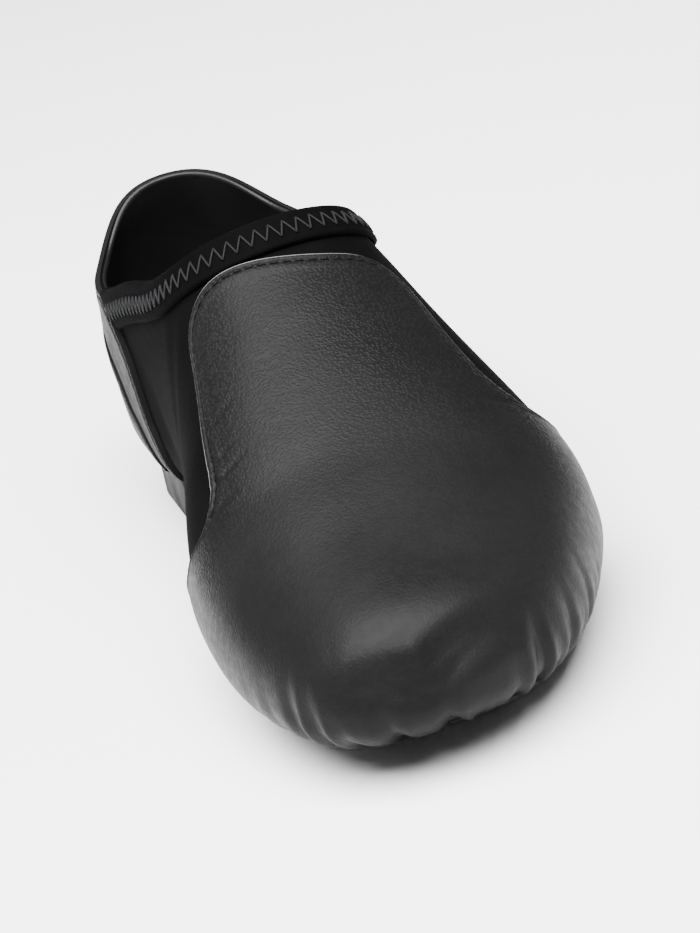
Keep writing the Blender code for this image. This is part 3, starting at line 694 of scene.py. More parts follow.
def pleat_rise(way):
    """How far the gathers round the toe move the surface."""
    at = place(way)
    x = at[..., 0] - PAD_X
    forward = -at[..., 1] - PAD_Y
    bearing = np.degrees(np.arctan2(x, -forward))
    radius = np.hypot(x, forward)
    edge_x, edge_station = pad_edge(np.radians(bearing))
    edge = np.hypot(edge_x - PAD_X, edge_station - PAD_Y)
    up = np.maximum(radius - edge, 0.0) + np.clip(at[..., 2] - WALL_START, 0, 1)
    rise = np.zeros(at.shape[:-1])
    for middle, depth, width, reach, slant in PLEATS:
        share = np.clip(up / (reach * BALL_WIDTH), 0, 1)
        off = (bearing - middle - slant * share + 180) % 360 - 180
        off = np.radians(off) * np.maximum(radius, edge * PAD_INSIDE)
        off = off / (width * BALL_WIDTH * (1 + PLEAT_SPREAD * share))
        off = np.abs(off * np.where(off > 0, PLEAT_FLAT_SIDE, PLEAT_STEEP_SIDE))
        fade = (1 - share**2) ** PLEAT_FADE * np.clip(up / PLEAT_FOOT + PLEAT_FOOT_SHARE, 0, 1)
        groove = np.exp(-(off**PLEAT_SHARPNESS))
        groove -= PLEAT_RIDGE * hump(off, PLEAT_RIDGE_AWAY, PLEAT_RIDGE_WIDTH)
        rise -= depth * BALL_WIDTH * groove * fade
    low = 1 - soft(at[..., 2], PLEAT_FADE_LOW, PLEAT_FADE_HIGH)
    return np.where(forward < PLEAT_REAR, 0.0, rise * low)


def linked(name, points, faces, looks):
    """Smooth mesh in the scene, with its materials."""
    mesh = bpy.data.meshes.new(name)
    mesh.from_pydata(points.tolist(), [], faces)
    for look in looks:
        mesh.materials.append(look)
    mesh.polygons.foreach_set("use_smooth", np.ones(len(faces), bool))
    mesh.update()
    shape = bpy.data.objects.new(name, mesh)
    bpy.context.scene.collection.objects.link(shape)
    return shape


AXIS_HEIGHT = 0.030


def grid_mesh(name, grid, looks, ring=False, pole=False, wrap=False, inward=False, second=()):
    """Smooth mesh through a grid of points. second lists the rows of faces in the second look."""
    rows, columns = grid.shape[:2]
    index = np.arange(rows * columns).reshape(rows, columns)
    points = grid.reshape(-1, 3) + SHIFT
    if pole:
        index[0] = 0
    ahead = np.roll(index, -1, axis=1) if ring else index[:, 1:]
    here = index if ring else index[:, :-1]
    if wrap:
        quads = np.stack([here, np.roll(here, -1, axis=0), np.roll(ahead, -1, axis=0), ahead], -1)
    else:
        quads = np.stack([here[:-1], here[1:], ahead[1:], ahead[:-1]], -1)
    count = len(quads)
    row_of = np.repeat(np.arange(count), quads.shape[1])
    quads = quads.reshape(-1, 4)
    a, b, c, d = (points[quads[:, k]] for k in range(4))
    centre = (a + b + c + d) / 4
    axis = centre * (0.0, 1.0, 0.0) + (0.0, 0.0, AXIS_HEIGHT)
    outward = (np.cross(c - a, d - b) * (centre - axis)).sum()
    if (outward < 0) != inward:
        quads = quads[:, ::-1]
    faces = [[p for k, p in enumerate(quad) if p not in quad[:k]] for quad in quads.tolist()]
    shape = linked(name, points, faces, looks)
    chosen = np.isin(row_of, [row % count for row in second])
    shape.data.polygons.foreach_set("material_index", chosen.astype(np.int32))
    return shape


def spotted(shape, name, kind, field, values):
    """Gives a mesh values at its points for its material to read."""
    layer = shape.data.attributes.new(name, kind, "POINT")
    layer.data.foreach_set(field, values.reshape(-1).astype(np.float32))


THREAD_SIDES = 6


def tubes(name, paths, look):
    """One mesh of round threads, each given by its points, their outward ways and their radii."""
    turn = np.linspace(0, 2 * math.pi, THREAD_SIDES, endpoint=False)[:, None]
    points = []
    faces = []
    for path, outward, radii in paths:
        course = unit(np.gradient(path, axis=0))
        side = unit(np.cross(course, outward))
        up = np.cross(side, course)
        start = len(points)
        for k in range(len(path)):
            ring = path[k] + radii[k] * (np.cos(turn) * side[k] + np.sin(turn) * up[k])
            points.extend(ring.tolist())
        end = len(points) - THREAD_SIDES
        for low in range(start, end, THREAD_SIDES):
            for j in range(THREAD_SIDES):
                m = (j + 1) % THREAD_SIDES
                faces.append((low + j, low + m, low + THREAD_SIDES + m, low + THREAD_SIDES + j))
        faces.append(tuple(range(start + THREAD_SIDES - 1, start - 1, -1)))
        faces.append(tuple(range(end, end + THREAD_SIDES)))
    return linked(name, np.array(points) + SHIFT, faces, [look])


def finish(shape):
    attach(shape, "root")


def sampled(way, marks):
    run = running(place(way))
    return unit(along(way, marks, run))


# A stitch: its thread's share of the full radius at five points, and how far its middle stands up
# and its ends go down, in radii
STITCH_RADII = np.array((0.45, 0.95, 1.0, 0.95, 0.45))
STITCH_CROWN = 0.55
STITCH_DIP = 0.95
LIFT = 0.001


def lifted(way, height):
    """Points at a height over headings, and the outward way at each."""
    at = skin(way, height)
    return at, (skin(way, height + LIFT) - at) / LIFT


def sew(name, way, rise, stitch, look, lift=None):
    """A row of stitches along a curve of headings. A stitch is its pitch, length and radius."""
    pitch, length, thick = stitch
    count = int(running(place(way))[-1] / pitch)
    t = np.linspace(-1, 1, len(STITCH_RADII))
    marks = (np.arange(count) + 0.5)[:, None] * pitch + t * length / 2
    ways = sampled(way, marks.reshape(-1))
    height = rise + thick * (STITCH_CROWN - STITCH_DIP * np.abs(np.tile(t, count)) ** 3)
    if lift is not None:
        height = height + lift(ways)
    at, out = (part.reshape(count, len(t), 3) for part in lifted(ways, height))
    paths = [(at[k], out[k], thick * STITCH_RADII) for k in range(count)]
    finish(tubes(name, paths, look))


class Look:
    """A material under construction: its node tree and short ways to add nodes."""

    def __init__(self, name, colour, roughness, **settings):
        self.made = bpy.data.materials.new(name)
        self.made.use_nodes = True
        self.tree = self.made.node_tree
        self.shader = self.tree.nodes["Principled BSDF"]
        self.put(self.shader, "Base Color", (*colour, 1.0))
        self.put(self.shader, "Roughness", roughness)
        for key, value in settings.items():
            self.put(self.shader, key.replace("_", " "), value)
        self.where = self.node("ShaderNodeTexCoord").outputs["Object"]
        self.height = None

    def put(self, node, key, value):
        socket = key if isinstance(key, bpy.types.NodeSocket) else node.inputs[key]
        if isinstance(value, bpy.types.NodeSocket):
            self.tree.links.new(value, socket)
        else:
            socket.default_value = value

    def node(self, kind, **inputs):
        made = self.tree.nodes.new(kind)
        for key, value in inputs.items():
            self.put(made, key.replace("_", " "), value)
        return made

    def math(self, operation, a, b=0.0):
        made = self.tree.nodes.new("ShaderNodeMath")
        made.operation = operation
        self.put(made, 0, a)
        self.put(made, 1, b)
        return made.outputs[0]

    def noise(self, scale, detail=3.0, roughness=0.55):
        made = self.node("ShaderNodeTexNoise", Scale=scale, Detail=detail, Roughness=roughness,
                         Vector=self.where)
        return made.outputs["Fac"]

    def cells(self, scale, randomness=1.0):
        made = self.node("ShaderNodeTexVoronoi", Scale=scale, Randomness=randomness,
                         Vector=self.where)
        return made.outputs["Distance"]

    def ramp(self, value, low, high, start=0.0, end=1.0):
        made = self.node("ShaderNodeMapRange", Value=value, From_Min=low, From_Max=high,
                         To_Min=start, To_Max=end)
        made.interpolation_type = "SMOOTHSTEP"
        return made.outputs["Result"]

    def mixed(self, share, first, second):
        made = self.tree.nodes.new("ShaderNodeMix")
        made.data_type = "RGBA"
        self.put(made, "Factor", share)
        for key, value in (("A", first), ("B", second)):
            socket = [s for s in made.inputs if s.name == key and s.type == "RGBA"][0]
            self.put(made, socket, (*value, 1.0) if isinstance(value, tuple) else value)
        return [s for s in made.outputs if s.type == "RGBA"][0]

    def tones(self, share, first, second):
        self.put(self.shader, "Base Color", self.mixed(share, first, second))

    def rough(self, value, low, high, start, end):
        self.put(self.shader, "Roughness", self.ramp(value, low, high, start, end))

    def raised(self, value, distance, strength=1.0):
        """Stacks a bump of this many metres."""
        made = self.node("ShaderNodeBump", Strength=strength, Distance=distance, Height=value)
        if self.height is not None:
            self.put(made, "Normal", self.height)
        self.height = made.outputs["Normal"]
        self.put(self.shader, "Normal", self.height)

    def attribute(self, name):
        made = self.node("ShaderNodeAttribute")
        made.attribute_name = name
        return made.outputs

    def axes(self, vector, degrees=0.0):
        """Parts of a vector after a turn about the vertical."""
        turned = self.node("ShaderNodeMapping", Vector=vector)
        self.put(turned, "Rotation", (0.0, 0.0, math.radians(degrees)))
        return self.node("ShaderNodeSeparateXYZ", Vector=turned.outputs["Vector"]).outputs

    def lattice(self, x, y, pitch_x, pitch_y, stagger=0.0):
        """Distance in metres from the nearest point of a lattice in x and y."""
        row = self.math("ROUND", self.math("DIVIDE", y, pitch_y))
        shift = self.math("MULTIPLY", self.math("MODULO", row, 2.0), stagger * pitch_x)
        x = self.math("ADD", x, self.math("ABSOLUTE", shift))
        column = self.math("ROUND", self.math("DIVIDE", x, pitch_x))
        off_x = self.math("SUBTRACT", x, self.math("MULTIPLY", column, pitch_x))
        off_y = self.math("SUBTRACT", y, self.math("MULTIPLY", row, pitch_y))
        across = self.math("MULTIPLY", off_x, off_x)
        return self.math("SQRT", self.math("ADD", across, self.math("MULTIPLY", off_y, off_y)))


# The toe's leather is stretched smooth. Its grain sets in between these places along the shoe.
GRAIN_START = -0.080
GRAIN_FULL = -0.030
TOE_GRAIN = 0.25


def leather_look(name, index):
    look = Look(name, (0.016, 0.016, 0.0165), 0.42, Coat_Weight=0.02, Coat_Roughness=0.30,
                IOR=index, Specular_IOR_Level=0.5)
    grain = look.cells(1300.0)
    broad = look.noise(420.0, 4.0, 0.6)
    drift = look.noise(26.0, 3.0, 0.5)
    fine = look.noise(2600.0, 2.0, 0.6)
    tone = look.mixed(look.ramp(drift, 0.3, 0.7), (0.0042, 0.0042, 0.0044), (0.0064, 0.0064, 0.0066))
    grained = look.ramp(look.axes(look.where)["Y"], GRAIN_START, GRAIN_FULL, TOE_GRAIN, 1.0)
    stretched = look.math("SUBTRACT", 1.0, grained)
    pores = look.math("MAXIMUM", look.ramp(grain, 0.62, 0.34), stretched)
    look.tones(pores, (0.0038, 0.0038, 0.0039), tone)
    worn = look.ramp(drift, 0.3, 0.7, -0.03, 0.06)
    rough = look.math("ADD", look.ramp(broad, 0.3, 0.7, 0.36, 0.46), worn)
    look.put(look.shader, "Roughness", rough)
    look.raised(drift, 0.0010, 0.25)
    look.raised(broad, 0.00012, 0.6)
    pebbles = look.math("MULTIPLY", look.ramp(grain, 0.10, 0.70, 1.0, 0.0), grained)
    look.raised(pebbles, 0.00014, 0.7)
    look.raised(fine, 0.00003, 0.6)
    return look.made


def cut_look(name, dark, light, index):
    """Fibres of a cut leather edge."""
    look = Look(name, light, 0.85, IOR=index)
    fibre = look.noise(2600.0, 3.0, 0.6)
    look.tones(fibre, dark, light)
    look.raised(fibre, 0.00012, 0.6)
    return look.made


def thread_look(name, colour):
    look = Look(name, colour, 0.55, IOR=1.15)
    twist = look.noise(3800.0, 2.0, 0.6)
    look.rough(twist, 0.3, 0.7, 0.45, 0.7)
    look.raised(twist, 0.00006, 0.7)
    return look.made


def fabric_look():
    look = Look("stretch_fabric", (0.0075, 0.0075, 0.0080), 0.92, IOR=1.08, Specular_IOR_Level=0.5)
    knit = look.cells(1500.0, 0.55)
    drift = look.noise(40.0, 3.0, 0.5)
    look.tones(look.ramp(drift, 0.3, 0.7), (0.0010, 0.0010, 0.0011), (0.0018, 0.0018, 0.0019))
    look.rough(knit, 0.0, 0.6, 0.86, 0.97)
    look.raised(drift, 0.0010, 0.3)
    look.raised(knit, 0.00010, 0.55)
    return look.made


def tape_look():
    look = Look("elastic_tape", (0.009, 0.009, 0.0095), 0.85, IOR=1.07, Specular_IOR_Level=0.5)
    weave = look.cells(1900.0, 0.35)
    look.tones(look.noise(90.0, 3.0, 0.5), (0.0009, 0.0009, 0.0010), (0.0019, 0.0019, 0.0020))
    look.rough(weave, 0.0, 0.6, 0.76, 0.92)
    look.raised(weave, 0.00014, 0.6)
    return look.made


# Holes of the panel: radius where one starts, radius where it ends, and the dip's start and end
PANEL_HOLE = (0.00045, 0.00062, 0.0004, 0.0016)
PANEL_PITCH = (0.0036, 0.0048)
PANEL_FIELD = (0.0125, 0.0128)
PAD_HOLE = (0.0007, 0.0010, 0.0006, 0.0020)
PAD_PITCH = (0.0072, 0.0058)
PAD_TURN = 8.0
HOLE_COLOUR = (0.001, 0.001, 0.001)


def holes(look, away, field, sizes):
    """Where the holes are and how they dip, from the distance to their middles."""
    hole = look.math("MULTIPLY", look.ramp(away, sizes[0], sizes[1], 1.0, 0.0), field)
    dip = look.math("MULTIPLY", look.ramp(away, sizes[2], sizes[3], 1.0, 0.0), field)
    return hole, look.math("MULTIPLY", dip, -1.0)


def panel_look():
    look = Look("mesh_panel", (0.014, 0.014, 0.0145), 0.85, Sheen_Weight=0.08, Sheen_Roughness=0.5)
    axes = look.axes(look.attribute("flat")["Vector"])
    away = look.lattice(axes["X"], axes["Y"], *PANEL_PITCH, 0.5)
    field = look.ramp(look.math("ABSOLUTE", axes["X"]), *PANEL_FIELD, 1.0, 0.0)
    hole, dip = holes(look, away, field, PANEL_HOLE)
    knit = look.cells(1500.0, 0.5)
    drift = look.ramp(look.noise(60.0, 3.0, 0.5), 0.3, 0.7)
    tone = look.mixed(drift, (0.011, 0.011, 0.0115), (0.017, 0.017, 0.0175))
    look.tones(hole, tone, HOLE_COLOUR)
    look.rough(knit, 0.0, 0.6, 0.8, 0.95)
    look.raised(dip, 0.0006, 0.6)
    look.raised(knit, 0.00012, 0.6)
    return look.made


def suede_look():
    look = Look("pad_suede", (0.016, 0.016, 0.0165), 0.95, Sheen_Weight=0.16, Sheen_Roughness=0.45,
                Specular_IOR_Level=0.2)
    axes = look.axes(look.where, PAD_TURN)
    away = look.lattice(axes["X"], axes["Y"], *PAD_PITCH, 0.5)
    hole, dip = holes(look, away, look.attribute("spots")["Fac"], PAD_HOLE)
    nap = look.noise(1300.0, 4.0, 0.65)
    drift = look.ramp(look.noise(70.0, 3.0, 0.55), 0.3, 0.7)
    tone = look.mixed(drift, (0.011, 0.011, 0.0115), (0.024, 0.0235, 0.023))
    look.tones(hole, tone, HOLE_COLOUR)
    look.rough(nap, 0.3, 0.7, 0.88, 0.99)
    look.raised(dip, 0.0009, 0.7)
    look.raised(nap, 0.00022, 0.8)
    return look.made


TREAD_PITCH = 0.00125
TREAD_TURN = 45.0


def rubber_look(name, colour, treaded):
    look = Look(name, colour, 0.62, IOR=1.2, Specular_IOR_Level=0.4)
    cloud = look.noise(160.0, 4.0, 0.6)
    darker = tuple(0.72 * c for c in colour)
    lighter = tuple(1.25 * c for c in colour)
    look.tones(look.ramp(cloud, 0.3, 0.7), darker, lighter)
    look.rough(cloud, 0.3, 0.7, 0.54, 0.72)
    if treaded:
        axes = look.axes(look.where, TREAD_TURN)
        away = look.lattice(axes["X"], axes["Y"], TREAD_PITCH, TREAD_PITCH)
        look.raised(look.ramp(away, 0.00015, 0.00052, 1.0, 0.0), 0.00028, 0.9)
    look.raised(look.noise(1500.0, 3.0, 0.6), 0.00005, 0.6)
    return look.made


def lining_look():
    look = Look("black_lining", (0.012, 0.012, 0.0125), 0.40, IOR=1.26)
    drift = look.noise(45.0, 3.0, 0.5)
    look.tones(drift, (0.0030, 0.0030, 0.0031), (0.0055, 0.0055, 0.0057))
    look.rough(drift, 0.3, 0.7, 0.32, 0.46)
    look.raised(drift, 0.0016, 0.4)
    look.raised(look.cells(1700.0, 0.4), 0.00006, 0.5)
    return look.made


def insole_look():
    look = Look("insole_lining", (0.006, 0.006, 0.0062), 0.62, IOR=1.15)
    nap = look.noise(1100.0, 3.0, 0.6)
    look.tones(look.noise(55.0, 3.0, 0.5), (0.0040, 0.0040, 0.0042), (0.0075, 0.0075, 0.0077))
    look.rough(nap, 0.3, 0.7, 0.55, 0.72)
    look.raised(nap, 0.00010, 0.6)
    return look.made


def floor_look():
    look = Look("pale_floor", (0.86, 0.86, 0.865), 0.7)
    drift = look.noise(3.0, 2.0, 0.5)
    look.tones(drift, (0.85, 0.85, 0.855), (0.87, 0.87, 0.872))
    look.rough(drift, 0.3, 0.7, 0.66, 0.74)
    return look.made


LEATHER_LOOK = leather_look("black_leather", 1.13)
HEEL_LEATHER_LOOK = leather_look("duller_leather", 1.08)
CUT_LOOK = cut_look("cut_leather_edge", (0.07, 0.07, 0.072), (0.20, 0.20, 0.197), 1.5)
BAND_EDGE_LOOK = cut_look("band_cut_edge", (0.003, 0.003, 0.003), (0.009, 0.009, 0.009), 1.10)
THREAD_LOOK = thread_look("black_thread", (0.0035, 0.0035, 0.0035))
ZIGZAG_LOOK = thread_look("grey_thread", (0.0085, 0.0085, 0.009))
FABRIC_LOOK = fabric_look()
TAPE_LOOK = tape_look()
PANEL_LOOK = panel_look()
SUEDE_LOOK = suede_look()
RUBBER_LOOK = rubber_look("heel_rubber_side", (0.006, 0.006, 0.0062), False)
TREAD_LOOK = rubber_look("heel_rubber_tread", (0.034, 0.034, 0.035), True)
LINING_LOOK = lining_look()
INSOLE_LOOK = insole_look()
FLOOR_LOOK = floor_look()


COLUMN_SAMPLES = 141
COLUMN_LEAST_BEND = 30.0
ROW_GAP = 0.0006
SPREAD_SAMPLES = 4001


def columns_grid(start, end, rows, near=None, far=None, head=(), tail=()):
    """Headings down the columns from start to end: rows at the distances head from the start,
    then rows spaced by the last's bend, then rows at the distances tail from the end."""
    fine = np.linspace(0, 1, COLUMN_SAMPLES)
    start = np.broadcast_to(start, end.shape)
    near = between(start, end, 1 / 3) if near is None else near
    far = between(start, end, 2 / 3) if far is None else far
    course = (start[None], near[None], far[None], end[None])
    path = place(curved(*course, fine[:, None, None]))
    runs = np.diff(path, axis=0)
    lengths = span(runs)
    ways = unit(runs)
    turns = np.arccos(np.clip((ways[1:] * ways[:-1]).sum(-1), -1, 1))
    bends = turns / (lengths[1:] + lengths[:-1]) * 2
    bends = np.concatenate([bends[:1], bends, bends[-1:]])
    bends = (bends[1:] + bends[:-1]) / 2
    run = summed(lengths)
    load = summed(np.sqrt(bends + COLUMN_LEAST_BEND) * lengths)
    first = head[-1] + ROW_GAP if head else 0.0
    after = tail[0] + ROW_GAP if tail else 0.0
    shares = []
    for j in range(len(end)):
        low, high = np.interp((first, run[-1, j] - after), run[:, j], load[:, j])
        start_shares = np.interp(head, run[:, j], fine)
        middle_shares = np.interp(np.linspace(low, high, rows), load[:, j], fine)
        end_shares = np.interp(run[-1, j] - np.array(tail), run[:, j], fine)
        shares.append(np.concatenate([start_shares, middle_shares, end_shares]))
    return curved(*course, np.stack(shares, 1)[..., None])


def spread(points, count, boost=None, closed=False):
    """Headings along a curve of headings, evenly or closer together where boost is high."""
    fine = np.linspace(0, running(place(points))[-1], SPREAD_SAMPLES)
    ways = sampled(points, fine)
    load = summed(boost(ways)[1:] if boost else np.ones(SPREAD_SAMPLES - 1))
    marks = np.linspace(0, load[-1], count + 1 if closed else count)
    marks = marks[:-1] if closed else marks
    return sampled(points, np.interp(marks, load, fine))


def away_rows(grid, from_start):
    """Distance of each row of a grid from its first or last row, on the last."""
    at = place(grid)
    return running(at) if from_start else running(at[::-1])[::-1]


LEATHER_TOP = GAP + LEATHER
# Rows of leather near a cut and sewn edge, by their distance from it
EDGE_TAIL = (0.0042, 0.0034, 0.0028, 0.0024, 0.0021, 0.0018, 0.0015, 0.0012, 0.0009, 0.0006, 0.0003,
             0.0001, 0.0)
EDGE_HEAD = EDGE_TAIL[::-1]
# Change of height of leather near its sewn edge: pulled down along the stitches, a little
# swollen on both sides of them, and rounded off at the cut
SEWN = (
    # rise, distance from the edge, width
    (-0.00034, 0.0018, 0.00042),
    (0.00016, 0.0036, 0.0012),
    (0.00010, 0.0008, 0.0005),
    (-0.00016, 0.0, 0.00016),
)
STITCH_AWAY = 0.0018
STITCH_SUNK = 0.00022
# Pitch, length and radius of the stitches
LEATHER_STITCH = (0.0029, 0.0021, 0.00027)
PANEL_STITCH = (0.0030, 0.0022, 0.00022)
PAD_STITCH = (0.0031, 0.0020, 0.00024)
# Shares of a sheet's height where its cut face has rows
CUT_ROWS = (0.12, 0.5, 0.88, 1.0)


def sewn_profile(away):
    return sum(rise * hump(away, middle, width) for rise, middle, width in SEWN)


def rim(grid, rise, low, end=True):
    """Adds the cut face of a sheet at the last row (or the first), down to a rise of low."""
    if not end:
        turned, level = rim(grid[::-1], rise[::-1], low)
        return turned[::-1], level[::-1]
    rows = np.stack([grid[-1]] * len(CUT_ROWS))
    levels = np.stack([rise[-1] * (1 - share) + low * share for share in CUT_ROWS])
    return np.concatenate([grid, rows]), np.concatenate([rise, levels])


VAMP_SAMPLES = 2400
VAMP_COLUMNS = 820
VAMP_ROWS = 92
# Rows before the sewn edge's own, where the swell beside the stitches still shows, and beyond
VAMP_NEAR_ROWS = (0.0090, 0.0075, 0.0062, 0.0051)
VAMP_AWAY = 0.020
VAMP_LOWEST = 0.0004
VAMP_FOOT = -0.0002
VAMP_CUT_ROWS = 6
NEAR_TURN = 80.0
FAR_TURN = 100.0
# Columns are closer together round the toe's underside
TOE_BOOST = 2.6
# The edge under the pad isn't sewn: distances from the pad where the sewing sets in
SEWN_START = 0.0008
SEWN_FULL = 0.0035
UNSTITCHED_ENDS = 40


def make_vamp():
    rear = traced(VAMP_EDGE, np.linspace(0, len(VAMP_EDGE) - 1, VAMP_SAMPLES))
    x, station = pad_edge(np.linspace(-math.pi, math.pi, EDGE_SAMPLES), 0.3 * GAP)
    pad = under(x, station)
    start = int(np.argmin(span(place(pad) - place(rear[:1]))))
    end = int(np.argmin(span(place(pad) - place(rear[-1:]))))
    front = np.concatenate([pad[end:-1], pad[: start + 1]])

    def boost(ways):
        return 1.0 + TOE_BOOST * soft(ways[:, 0], 0.55, 0.72) * soft(-ways[:, 2], 0.0, 0.3)

    edge = spread(np.concatenate([rear, front, rear[:1]]), VAMP_COLUMNS, boost, True)
    centre = heading(VAMP_CENTRE[0], math.radians(VAMP_CENTRE[1]))
    low = np.clip((-edge[:, 2:] - 0.1) / 0.8, 0, 1)
    near = between(centre[None], edge, 1 / 3) * (1 - low)
    near = unit(near + vamp_course(edge, VAMP_NEAR_LEAN, NEAR_TURN) * low)
    far = between(centre[None], edge, 2 / 3) * (1 - low)
    far = unit(far + vamp_course(edge, VAMP_FAR_LEAN, FAR_TURN) * low)
    grid = columns_grid(centre, edge, VAMP_ROWS, near, far, tail=EDGE_TAIL)
    pads = place(front)[::6]
    away = np.array([span(pads - p).min() for p in place(edge)])
    beyond = (VAMP_AWAY,) * (len(grid) - len(VAMP_NEAR_ROWS) - len(EDGE_TAIL))
    distance = np.array(beyond + VAMP_NEAR_ROWS + EDGE_TAIL)[:, None]
    rise = LEATHER_TOP + sewn_profile(distance) * soft(away, SEWN_START, SEWN_FULL)
    rise += crease_rise(grid) + pleat_rise(grid)
    grid, rise = rim(grid, np.maximum(rise, VAMP_LOWEST), VAMP_FOOT)
    cut = range(-VAMP_CUT_ROWS, 0)
    looks = [LEATHER_LOOK, CUT_LOOK]
    shape = grid_mesh("vamp_leather", skin(grid, rise), looks, ring=True, pole=True, second=cut)
    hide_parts("vamp")
    finish(shape)
    line = unit(moved(rear[UNSTITCHED_ENDS:-UNSTITCHED_ENDS], centre, STITCH_AWAY))
    height = LEATHER_TOP - STITCH_SUNK
    sew("vamp_stitches", line, height, LEATHER_STITCH, THREAD_LOOK, crease_rise)


BAND_COLUMNS = 420
BAND_ROWS = 26
BAND_SWELL = 0.00014
BAND_SWELL_AWAY = 0.0040
BAND_SWELL_WIDTH = 0.0011
CUP_COLUMNS = 360
CUP_ROWS = 60
# The cup's leather steps up towards the band that it is sewn over
CUP_STEP = 0.00050
CUP_STEP_WIDTH = 0.0060
CUP_RIM_FOOT = 0.0006
CUP_STITCH_RISE = 0.0002
BLOCK_SAMPLES = 2881


def make_counter():
    fine_edge, fine_seam = counter_lines()
    marks = np.linspace(0, len(fine_edge) - 1, BAND_COLUMNS)
    edge = unit(along(fine_edge, marks, np.arange(len(fine_edge))))
    seam = unit(along(fine_seam, marks, np.arange(len(fine_seam))))
    grid = columns_grid(edge, seam, BAND_ROWS, head=EDGE_HEAD)
    swell = BAND_SWELL * hump(away_rows(grid, False), BAND_SWELL_AWAY, BAND_SWELL_WIDTH)
    rise = LEATHER_TOP + sewn_profile(away_rows(grid, True)) + swell + crease_rise(grid)
    grid, rise = rim(grid, rise, 0.0, end=False)
    grid, rise = rim(grid, rise, 0.0)
    looks = [HEEL_LEATHER_LOOK, BAND_EDGE_LOOK]
    cut = range(len(CUT_ROWS) + 1)
    shape = grid_mesh("counter_band_leather", skin(grid, rise), looks, second=cut)
    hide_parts("counter_band")
    finish(shape)
    line = unit(moved(edge, seam, STITCH_AWAY))
    height = LEATHER_TOP - STITCH_SUNK
    sew("band_stitches", line, height, LEATHER_STITCH, THREAD_LOOK)

    corner = 0.985 * block_corner()
    x, station = block_edge(np.linspace(corner, -corner, BLOCK_SAMPLES), 0.2 * GAP)
    below = spread(under(x, station), CUP_COLUMNS)
    inner = spread(fine_seam[2 * SEAM_STEPS : -2 * SEAM_STEPS], CUP_COLUMNS)
    grid = columns_grid(inner, below, CUP_ROWS, head=EDGE_HEAD)
    run = away_rows(grid, True)
    rise = LEATHER_TOP + CUP_STEP * hump(run, 0.0, CUP_STEP_WIDTH)
    rise = rise + sewn_profile(run) + crease_rise(grid)
    grid, rise = rim(grid, rise, CUP_RIM_FOOT, end=False)
    shape = grid_mesh("heel_cup_leather", skin(grid, rise), [HEEL_LEATHER_LOOK, CUT_LOOK])
    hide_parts("heel_cup")
    finish(shape)
    centre = heading(CUP_CENTRE[0], math.radians(CUP_CENTRE[1]))
    line = unit(moved(inner, centre, STITCH_AWAY))
    height = LEATHER_TOP + CUP_STITCH_RISE
    sew("cup_stitches", line, height, LEATHER_STITCH, THREAD_LOOK)


UPPER_COLUMNS = 400
UPPER_ROWS = 110
EDGE_SAMPLES = 1441
OPENING_SAMPLES = 2881
OPENING_FULLNESS = 0.7
LINING_CREASE = 0.8
FOLD_RISE = 0.0005


def make_upper():
    angle = np.linspace(0, 2 * math.pi, OPENING_SAMPLES)
    share = (UNDERSIDE_START + UNDERSIDE_END) / 2
    share = share - (UNDERSIDE_END - UNDERSIDE_START) / 2 * np.cos(angle)
    reach = np.abs(np.sin(angle)) ** OPENING_FULLNESS * np.sign(np.sin(angle))
    x = panel_middle(share) + reach * UNDERSIDE_WIDTH / 2
    low = evenly(under(x, share * LAST_LENGTH), UPPER_COLUMNS, closed=True)
    collar = collar_point(np.linspace(math.pi, 3 * math.pi, EDGE_SAMPLES))
    high = evenly(collar, UPPER_COLUMNS, closed=True)
    quarter = UPPER_COLUMNS // 4
    if np.sign(low[quarter, 1]) != np.sign(high[quarter, 1]):
        high = np.roll(high[::-1], 1, axis=0)
    grid = columns_grid(low, high, UPPER_ROWS)
    rise = crease_rise(grid)
    outer = skin(grid, rise)
    inner = skin(grid, rise * LINING_CREASE - WALL)[::-1]
    top = skin(grid[-1:], rise[-1:] - WALL / 2)
    top[..., 2] += FOLD_RISE
    inside = range(UPPER_ROWS, 2 * UPPER_ROWS + 1)
    both = np.concatenate([outer, top, inner])
    looks = [FABRIC_LOOK, LINING_LOOK]
    shape = grid_mesh("upper_fabric", both, looks, ring=True, wrap=True, second=inside)
    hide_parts("upper")
    finish(shape)


TAPE_COLUMNS = 420
TAPE_SOFT = 0.0001
TAPE_IN = -WALL - GAP
# Section of the folded tape, from its outer edge over the collar to its inner edge
TAPE_SECTION = (
    # drop below the collar's edge, rise off the last
    (BINDING_WIDTH, GAP),
    (BINDING_WIDTH + TAPE_SOFT, 0.6 * LEATHER_TOP),
    (BINDING_WIDTH - 0.0002, LEATHER_TOP - TAPE_SOFT),
    (BINDING_WIDTH - 0.0008, LEATHER_TOP + TAPE_SOFT),
    (BINDING_WIDTH - 0.0016, LEATHER_TOP - TAPE_SOFT),
    (BINDING_WIDTH * 0.66, LEATHER_TOP + TAPE_SOFT),
    (BINDING_WIDTH * 0.50, LEATHER_TOP + 2 * TAPE_SOFT),
    (BINDING_WIDTH * 0.34, LEATHER_TOP + TAPE_SOFT),
    (0.0016, LEATHER_TOP - TAPE_SOFT),
    (0.0006, LEATHER_TOP + TAPE_SOFT),
    (-0.0004, LEATHER_TOP - TAPE_SOFT),
    (-0.0011, 0.4 * LEATHER_TOP),
    (-0.0015, -0.5 * WALL),
    (-0.0011, TAPE_IN - 0.4 * LEATHER),
    (-0.0002, TAPE_IN - LEATHER),
    (0.0016, TAPE_IN - LEATHER - TAPE_SOFT),
    (BINDING_INSIDE - 0.0004, TAPE_IN - LEATHER),
    (BINDING_INSIDE, TAPE_IN - 0.4 * LEATHER),
    (BINDING_INSIDE, TAPE_IN + 0.0002),
)
ZIGZAG_SAMPLES = 400
ZIGZAG_PITCH = 0.0017
